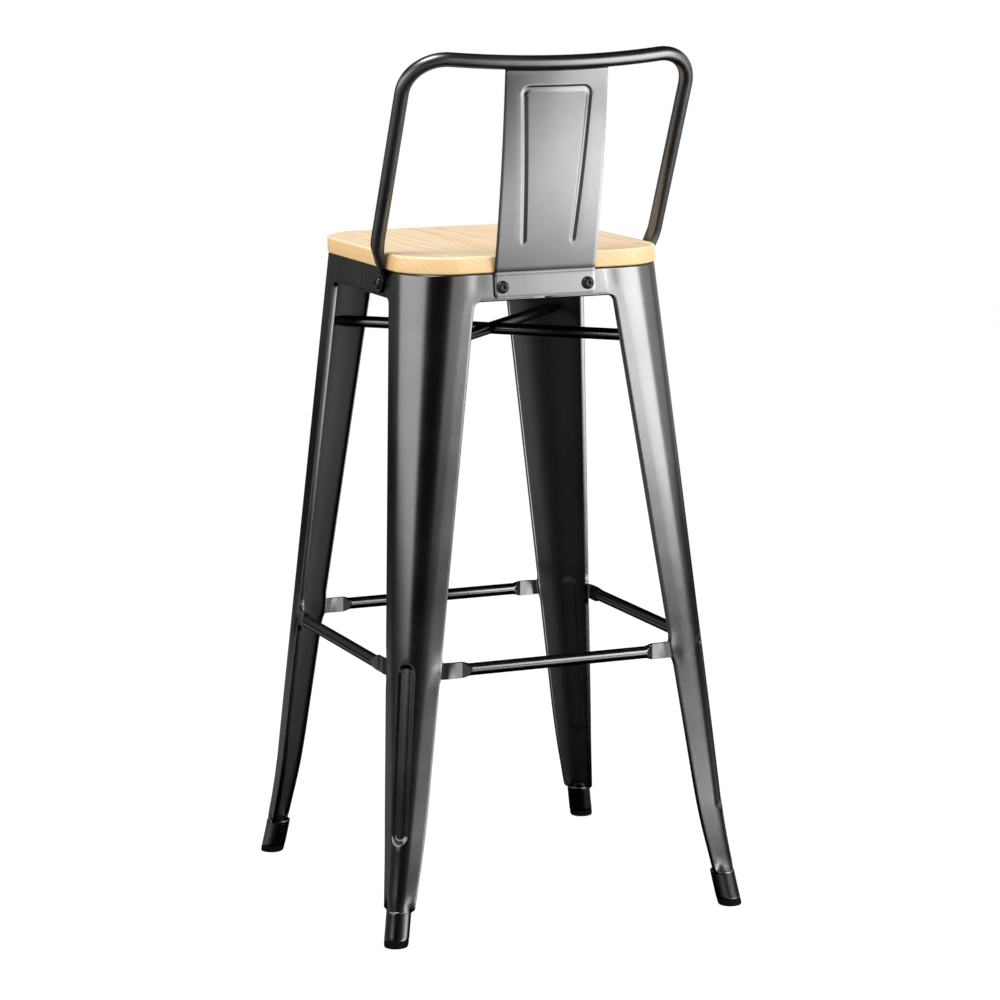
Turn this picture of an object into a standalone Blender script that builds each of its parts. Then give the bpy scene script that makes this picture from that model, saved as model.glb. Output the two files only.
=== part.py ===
"""Bar stool: pressed steel legs with half aprons, footrest rails, cross brace, hoop back and board seat.

Metres, +Z up. The origin is on the floor under the middle of the seat. The sitter faces -Y, the hoop back
is on +Y, and the sitter's left is +X. Every real piece is an object of its own.
"""

import math

import bmesh
import bpy
from mathutils import Matrix, Vector

# Driving dimensions, metres.
SEAT_TOP = 0.7600        # top of the wooden seat
SEAT_BOTTOM = 0.7408     # underside of the wooden seat
SEAT_HALF_X = 0.1575     # half width of the seat
SEAT_HALF_Y = 0.1650     # half depth of the seat
SEAT_CORNER = 0.0630     # plan radius of the seat corners
SEAT_ROUND = 0.0030      # rounding of the seat's top edge
BOARD_COUNT = 6          # glued boards running front to back
GLUE_LINE = 0.0003       # clear gap between neighbouring pieces
SHEET = 0.0014           # thickness of the pressed leg sheet
APRON_TOP = 0.7405       # top edge of the apron band
APRON_BOTTOM = 0.7090    # lower edge of the apron band
APRON_FILLET = 0.0065    # inner corner between leg wing and apron
LEG_LOW = 0.0370         # lower end of the leg wings, above the collar
DEPTH_RATIO = 1.05       # the frame is this much deeper than it is wide
LIP = 0.0060             # width of the folded lip on the free edges
LIP_BEND = 0.0020        # rounding of that fold
RIB_TOP = 0.3160         # upper end of the pressed rib on the leg corner
RIB_BOTTOM = 0.1060      # lower end of the pressed rib
RIB_HALF = 0.0115        # half width of the rib
RIB_DEPTH = 0.0028       # how far the rib is pressed in
RIB_WALL = 0.0056        # width of the rib's sloping side
COLLAR_RADIUS = 0.0137   # outside radius of the rolled collar
COLLAR_WALL = 0.0018
COLLAR_TOP = 0.0402
COLLAR_BOTTOM = 0.0080
FOOT_RADIUS = 0.0139     # rubber foot under the collar
FOOT_VISIBLE = 0.0077
FOOT_PLUG = 0.0113       # radius of the foot's plug inside the collar
FOOT_PLUG_TOP = 0.0300
RAIL_HEIGHT = 0.3030     # centre height of the footrest rails
RAIL_RADIUS = 0.0070
RAIL_TAB_HALF = 0.0097   # half height of the flattened rail end
RAIL_TAB_THICK = 0.0030
RAIL_TAB_LENGTH = 0.0230
BRACE_HEIGHT = 0.6570    # centre height of the cross brace
BRACE_RADIUS = 0.0068
HOOP_RADIUS = 0.0080
HOOP_HALF = 0.1692       # centre line half width of the hoop
HOOP_LEAN = 0.4864       # rearward lean, run over rise
HOOP_Y_AT_080 = 0.1024   # centre line Y at height 0.80
HOOP_RISE = 0.2042       # length from height 0.80 to the top rail, along the lean
HOOP_BOW = 0.0235        # how far the top rail bows back
HOOP_CORNER = 0.0460     # centre line radius of the top corners
TAB_THICK = 0.0032       # flattened end of the hoop tube
TAB_HALF = 0.0110
SPLAT_HALF = 0.0609
SPLAT_THICK = 0.0020
SPLAT_BEND = 0.7400      # height of the bend above the flange
SPLAT_LOW = 0.7125       # lower edge of the flange
SPLAT_CURVE_RISE = 0.2350  # over this height the splat takes on the top rail's bow
GROOVE_TOP = 0.9450      # top run of the pressed groove in the splat
GROOVE_END = 0.7765      # where the groove's two legs stop
GROOVE_X_TOP = 0.0388
GROOVE_X_END = 0.0296
GROOVE_HALF = 0.0042
GROOVE_DEPTH = 0.0018
GROOVE_CORNER = 0.0075
BOLT_X = 0.0513          # splat bolts, either side of the middle
BOLT_HEIGHT = 0.7245
HOOP_BOLT_Y = 0.0680
HOOP_BOLT_HEIGHT = 0.7245
BOLT_SHANK = 0.0030
BOLT_HEAD = 0.0072
BOLT_HEAD_HEIGHT = 0.0042
NUT_FLATS = 0.0100
NUT_HEIGHT = 0.0050
SCREW_X = 0.0790         # wood screws under the seat
SCREW_Y = 0.1050
PAN_DROP = 0.0100        # depth of the seat pan's turned down edge
PAN_SHEET = 0.0012

PARTS = "bar_stool"
CUTTERS = "cutters"


# ---------------------------------------------------------------- scene and object helpers
def clear_scene():
    for obj in list(bpy.data.objects):
        bpy.data.objects.remove(obj, do_unlink=True)
    for coll in list(bpy.data.collections):
        bpy.data.collections.remove(coll)


def make_collections():
    parts = bpy.data.collections.new(PARTS)
    cutters = bpy.data.collections.new(CUTTERS)
    bpy.context.scene.collection.children.link(parts)
    bpy.context.scene.collection.children.link(cutters)
    cutters.hide_render = True


def material(name, colour, metallic, roughness):
    mat = bpy.data.materials.get(name)
    if mat is None:
        mat = bpy.data.materials.new(name)
        mat.use_nodes = True
        shader = mat.node_tree.nodes["Principled BSDF"]
        shader.inputs["Base Color"].default_value = (*colour, 1.0)
        shader.inputs["Metallic"].default_value = metallic
        shader.inputs["Roughness"].default_value = roughness
        mat.diffuse_color = (*colour, 1.0)
    return mat


def add_object(name, bm, mat):
    bmesh.ops.recalc_face_normals(bm, faces=bm.faces)
    mesh = bpy.data.meshes.new(name)
    bm.to_mesh(mesh)
    bm.free()
    mesh.materials.append(mat)
    obj = bpy.data.objects.new(name, mesh)
    bpy.data.collections[PARTS].objects.link(obj)
    return obj


def as_cutter(obj):
    bpy.data.collections[PARTS].objects.unlink(obj)
    bpy.data.collections[CUTTERS].objects.link(obj)
    obj.hide_render = True
    obj.display_type = "WIRE"
    return obj


def apply_modifiers(obj):
    bpy.context.view_layer.update()
    graph = bpy.context.evaluated_depsgraph_get()
    mesh = bpy.data.meshes.new_from_object(obj.evaluated_get(graph))
    old = obj.data
    obj.modifiers.clear()
    obj.data = mesh
    mesh.name = obj.name
    bpy.data.meshes.remove(old)


def boolean(obj, other, operation):
    mod = obj.modifiers.new(operation.lower(), "BOOLEAN")
    mod.operation = operation
    mod.solver = "EXACT"
    mod.object = other
    apply_modifiers(obj)


def smooth_step(value):
    t = min(1.0, max(0.0, value))
    return t * t * (3.0 - 2.0 * t)


def add_ring(bm, points):
    return [bm.verts.new(p) for p in points]


def bridge(bm, lower, upper):
    count = len(lower)
    for i in range(count):
        j = (i + 1) % count
        bm.faces.new((lower[i], lower[j], upper[j], upper[i]))


def loft(rings):
    """A closed body through rings that all have the same number of points."""
    bm = bmesh.new()
    made = [add_ring(bm, ring) for ring in rings]
    for lower, upper in zip(made, made[1:]):
        bridge(bm, lower, upper)
    bm.faces.new(made[0])
    bm.faces.new(made[-1])
    return bm


def tube_body(outer, inner):
    """A hollow open-ended body from two equally long lists of rings."""
    bm = bmesh.new()
    outside = [add_ring(bm, ring) for ring in outer]
    inside = [add_ring(bm, ring) for ring in inner]
    for rows in (outside, inside):
        for lower, upper in zip(rows, rows[1:]):
            bridge(bm, lower, upper)
    bridge(bm, outside[0], inside[0])
    bridge(bm, outside[-1], inside[-1])
    return bm


def circle(centre, radius, count, z):
    points = []
    for i in range(count):
        angle = 2.0 * math.pi * (i + 0.5) / count
        x = centre[0] + radius * math.cos(angle)
        y = centre[1] + radius * math.sin(angle)
        points.append(Vector((x, y, z)))
    return points


def axis_frame(origin, axis):
    """A matrix that carries +Z to the given axis and the origin to the given point."""
    turn = Vector((0.0, 0.0, 1.0)).rotation_difference(Vector(axis).normalized())
    return Matrix.Translation(Vector(origin)) @ turn.to_matrix().to_4x4()


def lathe(profile, count):
    """A closed body of revolution about +Z from (radius, z) pairs, on-axis at both ends."""
    bm = bmesh.new()
    rows = []
    for radius, z in profile:
        if radius <= 0.0:
            rows.append([bm.verts.new((0.0, 0.0, z))])
        else:
            rows.append(add_ring(bm, circle((0.0, 0.0), radius, count, z)))
    for lower, upper in zip(rows, rows[1:]):
        for i in range(count):
            j = (i + 1) % count
            if len(lower) == 1:
                bm.faces.new((lower[0], upper[j], upper[i]))
            elif len(upper) == 1:
                bm.faces.new((lower[i], lower[j], upper[0]))
            else:
                bm.faces.new((lower[i], lower[j], upper[j], upper[i]))
    return bm


def drill(obj, origin, axis, radius, back, front, count=20):
    """Cut a round hole through obj along axis, from back behind origin to front ahead of it."""
    bm = lathe([(0.0, -back), (radius, -back), (radius, front), (0.0, front)], count)
    bm.transform(axis_frame(origin, axis))
    tool = as_cutter(add_object(obj.name + "_hole", bm, obj.data.materials[0]))
    boolean(obj, tool, "DIFFERENCE")


# ---------------------------------------------------------------- leg shape
def half_x(z):
    """Half width of the frame's outside face at height z."""
    value = 0.2031 - 0.0767 * (z - 0.13)
    if z < 0.125:
        value += 0.457 * (0.125 - z) ** 2
    return value


def half_y(z):
    return half_x(z) * DEPTH_RATIO


def wing(z):
    """Width of a leg wing, from the frame's outside corner to the wing's free edge."""
    width = 0.0288 + 0.0650 * z
    start = APRON_BOTTOM - APRON_FILLET
    if z > start:
        rise = min(APRON_FILLET, z - start)
        width += APRON_FILLET - math.sqrt(max(0.0, APRON_FILLET ** 2 - rise ** 2))
    return width


def corner_radius(z):
    return 0.0143 + 0.0677 * (z - 0.04)


def rib_depth(along, z):
    """How far the rib presses in, for a distance along the corner from its middle."""
    low = RIB_BOTTOM + RIB_HALF
    high = RIB_TOP - RIB_HALF
    nearest = min(high, max(low, z))
    distance = math.hypot(along, z - nearest)
    return RIB_DEPTH * smooth_step((RIB_HALF - distance) / RIB_WALL)


def leg_section(z):
    """Outer sheet at height z, from the +X wing's free edge round the corner to the +Y wing's free edge."""
    hx = half_x(z)
    hy = half_y(z)
    radius = corner_radius(z)
    half_arc = radius * math.pi / 4.0
    fit = min(1.0, 0.85 * half_arc / RIB_HALF)
    inner = [fit * v for v in (0.0, 0.004, RIB_HALF - RIB_WALL, RIB_HALF - RIB_WALL / 2.0, RIB_HALF)]
    spread = [inner[-1] + (half_arc - inner[-1]) * k / 3.0 for k in (1, 2, 3)]
    half = inner + spread
    along = [-v for v in reversed(half[1:])] + half
    points = [Vector((hx, hy - wing(z), z)), Vector((hx, hy - (radius + wing(z)) / 2.0, z))]
    for s in along:
        angle = math.pi / 4.0 + s / radius
        r = radius - rib_depth(s, z)
        points.append(Vector((hx - radius + r * math.cos(angle), hy - radius + r * math.sin(angle), z)))
    points.append(Vector((hx - (radius + wing(z)) / 2.0, hy, z)))
    points.append(Vector((hx - wing(z), hy, z)))
    return points


def leg_heights():
    low = RIB_BOTTOM
    high = RIB_TOP
    ends = [0.0, 0.0016, 0.0032, 0.0060, 0.0090, 0.0125]
    rows = [LEG_LOW, 0.055, 0.075, 0.092]
    rows += [low + e for e in ends]
    rows += [0.165, 0.210, 0.258]
    rows += [high - e for e in reversed(ends)]
    rows += [0.40, 0.50, 0.60]
    start = APRON_BOTTOM - APRON_FILLET
    rows += [start + APRON_FILLET * math.sin(math.radians(a)) for a in (0.0, 25.0, 45.0, 65.0, 90.0)]
    rows += [APRON_TOP]
    return rows


def fold_edge(bm, chain, inward):
    """Round the sheet's free edge and turn it in to a lip.

    The chain runs from the apron's middle to the leg's end.
    """
    corners = [v.co.copy() for v in chain]
    rows = [[], [], []]
    for k, corner in enumerate(corners):
        before = corners[max(0, k - 1)]
        after = corners[min(len(corners) - 1, k + 1)]
        way = (after - before).normalized()
        material_side = way.cross(inward)
        if material_side.z < -0.2 or (abs(material_side.z) <= 0.2 and material_side.dot(corner) < 0.0):
            material_side.negate()
        turn = LIP_BEND * (1.0 - math.sqrt(0.5))
        chain[k].co = corner + material_side * LIP_BEND
        rows[0].append(bm.verts.new(corner + (material_side + inward) * turn))
        rows[1].append(bm.verts.new(corner + inward * LIP_BEND))
        rows[2].append(bm.verts.new(corner + inward * LIP))
    for near, far in zip([chain] + rows[:-1], rows):
        for k in range(len(chain) - 1):
            bm.faces.new((near[k], near[k + 1], far[k + 1], far[k]))


def leg_sheet(name, sx, sy, mat):
    """The open surface of one leg with its two half aprons, thickened to sheet."""
    bm = bmesh.new()
    heights = leg_heights()
    grid = [add_ring(bm, leg_section(z)) for z in heights]
    for lower, upper in zip(grid, grid[1:]):
        for i in range(len(lower) - 1):
            bm.faces.new((lower[i], lower[i + 1], upper[i + 1], upper[i]))
    gap = GLUE_LINE / 2.0
    bottom = heights[-2]
    mid_x = [bm.verts.new((half_x(z), gap, z)) for z in (bottom, APRON_TOP)]
    mid_y = [bm.verts.new((gap, half_y(z), z)) for z in (bottom, APRON_TOP)]
    bm.faces.new((mid_x[0], grid[-2][0], grid[-1][0], mid_x[1]))
    bm.faces.new((grid[-2][-1], mid_y[0], mid_y[1], grid[-1][-1]))
    edge_x = [mid_x[0]] + [row[0] for row in reversed(grid[:-1])]
    edge_y = [mid_y[0]] + [row[-1] for row in reversed(grid[:-1])]
    fold_edge(bm, edge_x, Vector((-1.0, 0.0, 0.0)))
    fold_edge(bm, edge_y, Vector((0.0, -1.0, 0.0)))
    bmesh.ops.recalc_face_normals(bm, faces=bm.faces)
    probe = max(bm.faces, key=lambda f: f.calc_center_median().x)
    if probe.normal.x < 0.0:
        bmesh.ops.reverse_faces(bm, faces=bm.faces)
    for v in bm.verts:
        v.co.x *= sx
        v.co.y *= sy
    if sx * sy < 0.0:
        bmesh.ops.reverse_faces(bm, faces=bm.faces)
    mesh = bpy.data.meshes.new(name)
    bm.to_mesh(mesh)
    bm.free()
    mesh.materials.append(mat)
    obj = bpy.data.objects.new(name, mesh)
    bpy.data.collections[PARTS].objects.link(obj)
    solid = obj.modifiers.new("thickness", "SOLIDIFY")
    solid.thickness = SHEET
    solid.offset = -1.0
    solid.use_even_offset = True
    solid.use_rim = True
    apply_modifiers(obj)
    return obj


def collar_centre(sx, sy, z):
    return (sx * (half_x(z) - 0.0141), sy * (half_y(z) - 0.0141))


def collar(name, sx, sy, mat):
    heights = [COLLAR_BOTTOM, 0.0240, COLLAR_TOP]
    outer = [circle(collar_centre(sx, sy, z), COLLAR_RADIUS, 28, z) for z in heights]
    inner = [circle(collar_centre(sx, sy, z), COLLAR_RADIUS - COLLAR_WALL, 28, z) for z in heights]
    return add_object(name, tube_body(outer, inner), mat)


def apron_point_y(x, z):
    """A point on the rear apron's outside face and the face's outward normal."""
    slope = 0.0767 * DEPTH_RATIO
    return Vector((x, half_y(z), z)), Vector((0.0, 1.0, slope)).normalized()


def apron_point_x(sx, y, z):
    return Vector((sx * half_x(z), y, z)), Vector((sx * 1.0, 0.0, 0.0767)).normalized()


def make_legs(mat):
    for name, sx, sy in (
        ("leg_rear_left", 1, 1),
        ("leg_rear_right", -1, 1),
        ("leg_front_left", 1, -1),
        ("leg_front_right", -1, -1),
    ):
        leg = leg_sheet(name, sx, sy, mat)
        ring = as_cutter(collar(name + "_collar", sx, sy, mat))
        boolean(leg, ring, "UNION")
        if sy > 0:
            point, normal = apron_point_y(sx * BOLT_X, BOLT_HEIGHT)
            drill(leg, point, normal, BOLT_SHANK + GLUE_LINE, 0.004, 0.004)
            point, normal = apron_point_x(sx, HOOP_BOLT_Y, HOOP_BOLT_HEIGHT)
            drill(leg, point, normal, BOLT_SHANK + GLUE_LINE, 0.004, 0.004)


def make_feet(mat):
    for name, sx, sy in (
        ("foot_rear_left", 1, 1),
        ("foot_rear_right", -1, 1),
        ("foot_front_left", 1, -1),
        ("foot_front_right", -1, -1),
    ):
        rings = []
        steps = (
            (0.0, FOOT_RADIUS - 0.0010),
            (0.0010, FOOT_RADIUS),
            (FOOT_VISIBLE, FOOT_RADIUS),
            (FOOT_VISIBLE, FOOT_PLUG),
            (FOOT_PLUG_TOP, FOOT_PLUG),
        )
        for z, radius in steps:
            rings.append(circle(collar_centre(sx, sy, z), radius, 28, z))
        add_object(name, loft(rings), mat)


# ---------------------------------------------------------------- tubes with flattened ends
def super_ring(half_a, half_b, flatness, count):
    """A ring between an ellipse (flatness 0) and a rounded bar (flatness 1), as (a, b) pairs."""
    power = 2.0 / (2.0 + 6.0 * flatness)
    pairs = []
    for i in range(count):
        angle = 2.0 * math.pi * (i + 0.5) / count
        c = math.cos(angle)
        s = math.sin(angle)
        a = math.copysign(abs(c) ** power, c) * half_a
        b = math.copysign(abs(s) ** power, s) * half_b
        pairs.append((a, b))
    return pairs


def rail_half(offset, edge, sign, count=16):
    """Rings of one footrest rail from its middle to one end; offset is the rail's outside face distance."""
    rings = []
    tab_middle = offset - GLUE_LINE - RAIL_TAB_THICK / 2.0
    tube_middle = offset - 0.0008
    shoulder = edge(RAIL_HEIGHT) - RAIL_TAB_LENGTH
    start = shoulder - 0.0140
    stations = [start + 0.0140 * k / 4.0 for k in range(5)]
    for along in stations:
        t = smooth_step((along - start) / 0.0140)
        half_out = RAIL_RADIUS + (RAIL_TAB_THICK / 2.0 - RAIL_RADIUS) * t
        half_up = RAIL_RADIUS + (RAIL_TAB_HALF - RAIL_RADIUS) * t
        middle = tube_middle + (tab_middle - tube_middle) * t
        ring = []
        for a, b in super_ring(half_out, half_up, t, count):
            ring.append((sign * along, middle + a, RAIL_HEIGHT + b))
        rings.append(ring)
    ring = []
    for a, b in super_ring(RAIL_TAB_THICK / 2.0, RAIL_TAB_HALF, 1.0, count):
        z = RAIL_HEIGHT + b
        ring.append((sign * (edge(z) - GLUE_LINE), tab_middle + a - 0.08 * b, z))
    rings.append(ring)
    return rings


def footrest(name, offset, edge, place, mat):
    left = rail_half(offset, edge, -1.0)
    right = rail_half(offset, edge, 1.0)
    rings = list(reversed(left)) + right
    placed = [[place(p) for p in ring] for ring in rings]
    return add_object(name, loft(placed), mat)


def make_footrests(mat):
    def edge_y_faces(z):
        return half_x(z) - wing(z)

    def edge_x_faces(z):
        return half_y(z) - wing(z)

    out_y = half_y(RAIL_HEIGHT)
    out_x = half_x(RAIL_HEIGHT)
    footrest("footrest_rear", out_y, edge_y_faces, lambda p: Vector((p[0], p[1], p[2])), mat)
    footrest("footrest_front", out_y, edge_y_faces, lambda p: Vector((p[0], -p[1], p[2])), mat)
    footrest("footrest_left", out_x, edge_x_faces, lambda p: Vector((p[1], p[0], p[2])), mat)
    footrest("footrest_right", out_x, edge_x_faces, lambda p: Vector((-p[1], p[0], p[2])), mat)


def brace_bar(name, sx, sy, begin, end, taper_begin, mat):
    """A brace tube along the diagonal towards (sx, sy), from distance begin to end from the middle."""
    way = Vector((sx, sy * DEPTH_RATIO, 0.0)).normalized()
    side = Vector((-way.y, way.x, 0.0))
    up = Vector((0.0, 0.0, 1.0))
    length = 0.020
    stations = [(end - length, 0.0), (end - length * 0.5, 0.5), (end - 0.002, 1.0), (end, 1.0)]
    if taper_begin:
        first = [(begin, 1.0), (begin + 0.002, 1.0), (begin + length * 0.5, 0.5), (begin + length, 0.0)]
    else:
        first = [(begin, 0.0)]
    rings = []
    for along, t in first + stations:
        half_side = BRACE_RADIUS * (1.0 + 0.20 * t)
        half_up = BRACE_RADIUS * (1.0 - 0.45 * t)
        middle = way * along + up * BRACE_HEIGHT
        rings.append([middle + side * a + up * b for a, b in super_ring(half_side, half_up, 0.3 * t, 16)])
    return add_object(name, loft(rings), mat)


def make_brace(mat):
    """One tube runs from corner to corner; the other diagonal is two halves that meet it."""
    z = BRACE_HEIGHT
    radius = corner_radius(z) - SHEET
    diagonal = math.hypot(1.0, DEPTH_RATIO)
    centre = Vector((half_x(z) - corner_radius(z), half_y(z) - corner_radius(z)))
    reach = (centre.x + centre.y * DEPTH_RATIO) / diagonal + radius - 0.0012
    brace_bar("brace_long", -1, 1, -reach, reach, True, mat)
    meet = BRACE_RADIUS * 1.01 + GLUE_LINE + 0.0004
    brace_bar("brace_half_rear", 1, 1, meet, reach, False, mat)
    brace_bar("brace_half_front", -1, -1, meet, reach, False, mat)


# ---------------------------------------------------------------- hoop back
def lean_vectors():
    angle = math.atan(HOOP_LEAN)
    up = Vector((0.0, math.sin(angle), math.cos(angle)))
    back = Vector((0.0, math.cos(angle), -math.sin(angle)))
    return up, back


def hoop_point(x, rise, bow):
    up, back = lean_vectors()
    return Vector((x, HOOP_Y_AT_080, 0.80)) + up * rise + back * bow


def hoop_path():
    """Centre points with (flatness, offset towards the apron) for one half, bottom to middle of the top."""
    up, back = lean_vectors()
    low = (SPLAT_LOW + 0.0035 - 0.80) / up.z
    points = []
    for z in (0.7150, 0.7180, 0.7290, 0.7370, 0.7405, 0.7435, 0.7470, 0.7530, 0.7600, 0.7680, 0.7760):
        rise = (z - 0.80) / up.z
        flat = smooth_step((0.7760 - z) / 0.0380)
        inward = smooth_step((0.7455 - z) / 0.0110)
        tube_inside = HOOP_HALF - HOOP_RADIUS
        inside = tube_inside + (half_x(z) + GLUE_LINE - tube_inside) * inward
        x = inside + HOOP_RADIUS + (TAB_THICK / 2.0 - HOOP_RADIUS) * flat
        points.append((hoop_point(x, max(rise, low), 0.0), flat))
    points.append((hoop_point(HOOP_HALF, (0.87 - 0.80) / up.z, 0.0), 0.0))
    turn = HOOP_RISE - HOOP_CORNER
    for k in range(9):
        angle = math.radians(90.0 * k / 8.0)
        x = HOOP_HALF - HOOP_CORNER + HOOP_CORNER * math.cos(angle)
        rise = turn + HOOP_CORNER * math.sin(angle)
        points.append((hoop_point(x, rise, hoop_bow(x)), 0.0))
    for x in (0.100, 0.075, 0.050, 0.025):
        points.append((hoop_point(x, HOOP_RISE, hoop_bow(x)), 0.0))
    return points


def hoop_bow(x):
    return HOOP_BOW * max(0.0, 1.0 - (x / HOOP_HALF) ** 2)


def make_hoop(mat):
    half = hoop_path()
    middle = [(hoop_point(0.0, HOOP_RISE, hoop_bow(0.0)), 0.0)]
    mirrored = [(Vector((-p.x, p.y, p.z)), t) for p, t in reversed(half)]
    path = half + middle + mirrored
    up, back = lean_vectors()
    rings = []
    for i, (point, t) in enumerate(path):
        before = path[max(0, i - 1)][0]
        after = path[min(len(path) - 1, i + 1)][0]
        way = (after - before).normalized()
        across = back
        if t > 0.0:
            lean = Vector((math.copysign(1.0, point.x), 0.0, 0.0767)).normalized()
            across = back.lerp((up.cross(lean)).normalized(), t)
            if across.dot(back) < 0.0:
                across = back.lerp(-(up.cross(lean)).normalized(), t)
        across = (across - way * across.dot(way)).normalized()
        thin = way.cross(across).normalized()
        half_wide = HOOP_RADIUS + (TAB_HALF - HOOP_RADIUS) * t
        half_thin = HOOP_RADIUS + (TAB_THICK / 2.0 - HOOP_RADIUS) * t
        if i in (0, len(path) - 1):
            half_wide *= 0.62
        ring = [point + across * b + thin * a for a, b in super_ring(half_thin, half_wide, 0.8 * t, 16)]
        rings.append(ring)
    hoop = add_object("back_hoop", loft(rings), mat)
    for sx in (1, -1):
        point, normal = apron_point_x(sx, HOOP_BOLT_Y, HOOP_BOLT_HEIGHT)
        drill(hoop, point, normal, BOLT_SHANK + GLUE_LINE, 0.004, 0.012)


def splat_curve_y(z):
    t = z - 0.80
    return 0.1811 + 0.2201 * t - 0.3495 * t * t


def splat_rows():
    """Rows of the splat from the flange's lower edge to the top rail, as (y, z) of its rear face."""
    rows = []
    for z in (SPLAT_LOW, SPLAT_BEND - 0.0028):
        rows.append((half_y(z) + GLUE_LINE + SPLAT_THICK, z))
    top = hoop_point(0.0, HOOP_RISE, HOOP_BOW)
    up, back = lean_vectors()
    end = top - up * (HOOP_RADIUS - 0.0010) + back * (SPLAT_THICK / 2.0)
    step = GROOVE_HALF
    heights = [SPLAT_BEND + 0.0022, 0.755, GROOVE_END - step, GROOVE_END - step / 2.0, GROOVE_END]
    heights += [GROOVE_END + 0.006, 0.81, 0.845, 0.88, 0.915, GROOVE_TOP - GROOVE_CORNER - step]
    heights += [GROOVE_TOP - GROOVE_CORNER, GROOVE_TOP - step, GROOVE_TOP - step / 2.0]
    heights += [GROOVE_TOP, GROOVE_TOP + step / 2.0, GROOVE_TOP + step]
    base = splat_curve_y(SPLAT_BEND + 0.0022)
    wanted = SEAT_HALF_Y + 2.0 * GLUE_LINE + SPLAT_THICK
    for z in heights:
        t = (z - heights[0]) / (end.z - heights[0])
        y = splat_curve_y(z) + (wanted - base) * (1.0 - t)
        rows.append((y, z))
    rows.append((end.y, end.z))
    return rows


def groove_x(z):
    t = (z - GROOVE_END) / (GROOVE_TOP - GROOVE_END)
    return GROOVE_X_END + (GROOVE_X_TOP - GROOVE_X_END) * t


def groove_distance(x, z):
    """Distance from a point of the splat to the groove's centre line, an upside-down U with round corners."""
    ax = abs(x)
    gx = groove_x(z)
    corner_z = GROOVE_TOP - GROOVE_CORNER
    corner_x = groove_x(corner_z) - GROOVE_CORNER
    if z > corner_z and ax > corner_x:
        return abs(math.hypot(ax - corner_x, z - corner_z) - GROOVE_CORNER)
    top_run = abs(z - GROOVE_TOP) if ax <= corner_x else 1.0
    if z < GROOVE_END:
        leg = math.hypot(ax - GROOVE_X_END, z - GROOVE_END)
    else:
        leg = abs(ax - gx)
    return min(top_run, leg)


def make_splat(mat):
    rows = splat_rows()
    offsets = [-GROOVE_HALF * 2.2, -GROOVE_HALF, -GROOVE_HALF / 2.0, 0.0, GROOVE_HALF / 2.0, GROOVE_HALF]
    bm = bmesh.new()
    grid = []
    for k, (y, z) in enumerate(rows):
        before = rows[max(0, k - 1)]
        after = rows[min(len(rows) - 1, k + 1)]
        way = Vector((0.0, after[0] - before[0], after[1] - before[1])).normalized()
        out = Vector((0.0, way.z, -way.y))
        gx = groove_x(min(max(z, GROOVE_END), GROOVE_TOP))
        right = [gx + o for o in offsets] + [(gx + GROOVE_HALF + SPLAT_HALF) / 2.0, SPLAT_HALF]
        line = [-x for x in reversed(right)] + [-0.012, 0.012] + right
        row = []
        for x in line:
            depth = GROOVE_DEPTH * smooth_step((GROOVE_HALF - groove_distance(x, z)) / (GROOVE_HALF * 0.8))
            depth += HOOP_BOW * (x / HOOP_HALF) ** 2 * smooth_step((z - SPLAT_BEND) / SPLAT_CURVE_RISE)
            row.append(bm.verts.new(Vector((x, y, z)) - out * depth))
        grid.append(row)
    for lower, upper in zip(grid, grid[1:]):
        for i in range(len(lower) - 1):
            bm.faces.new((lower[i], lower[i + 1], upper[i + 1], upper[i]))
    corners = [grid[0][0], grid[0][-1]]
    bmesh.ops.bevel(bm, geom=corners, offset=0.0022, segments=3, profile=0.5, affect="VERTICES")
    bmesh.ops.recalc_face_normals(bm, faces=bm.faces)
    if sum(f.normal.y for f in bm.faces) < 0.0:
        bmesh.ops.reverse_faces(bm, faces=bm.faces)
    mesh = bpy.data.meshes.new("back_splat")
    bm.to_mesh(mesh)
    bm.free()
    mesh.materials.append(mat)
    splat = bpy.data.objects.new("back_splat", mesh)
    bpy.data.collections[PARTS].objects.link(splat)
    solid = splat.modifiers.new("thickness", "SOLIDIFY")
    solid.thickness = SPLAT_THICK
    solid.offset = -1.0
    solid.use_even_offset = True
    apply_modifiers(splat)
    boolean(splat, hoop_cutter(mat), "DIFFERENCE")
    for sx in (1, -1):
        point, normal = apron_point_y(sx * BOLT_X, BOLT_HEIGHT)
        drill(splat, point, normal, BOLT_SHANK + GLUE_LINE, 0.004, 0.008)


def hoop_cutter(mat):
    """The top rail's shape, slightly larger, so that the splat stops just short of it."""
    radius = HOOP_RADIUS + GLUE_LINE
    up, back = lean_vectors()
    rings = []
    for k in range(-6, 7):
        x = 0.013 * k
        point = hoop_point(x, HOOP_RISE, hoop_bow(x))
        slope = -2.0 * HOOP_BOW * x / HOOP_HALF ** 2
        way = (Vector((1.0, 0.0, 0.0)) + back * slope).normalized()
        across = way.cross(up).normalized()
        ring = [point + across * a + up * b for a, b in super_ring(radius, radius, 0.0, 24)]
        rings.append(ring)
    return as_cutter(add_object("top_rail_clearance", loft(rings), mat))


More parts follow.
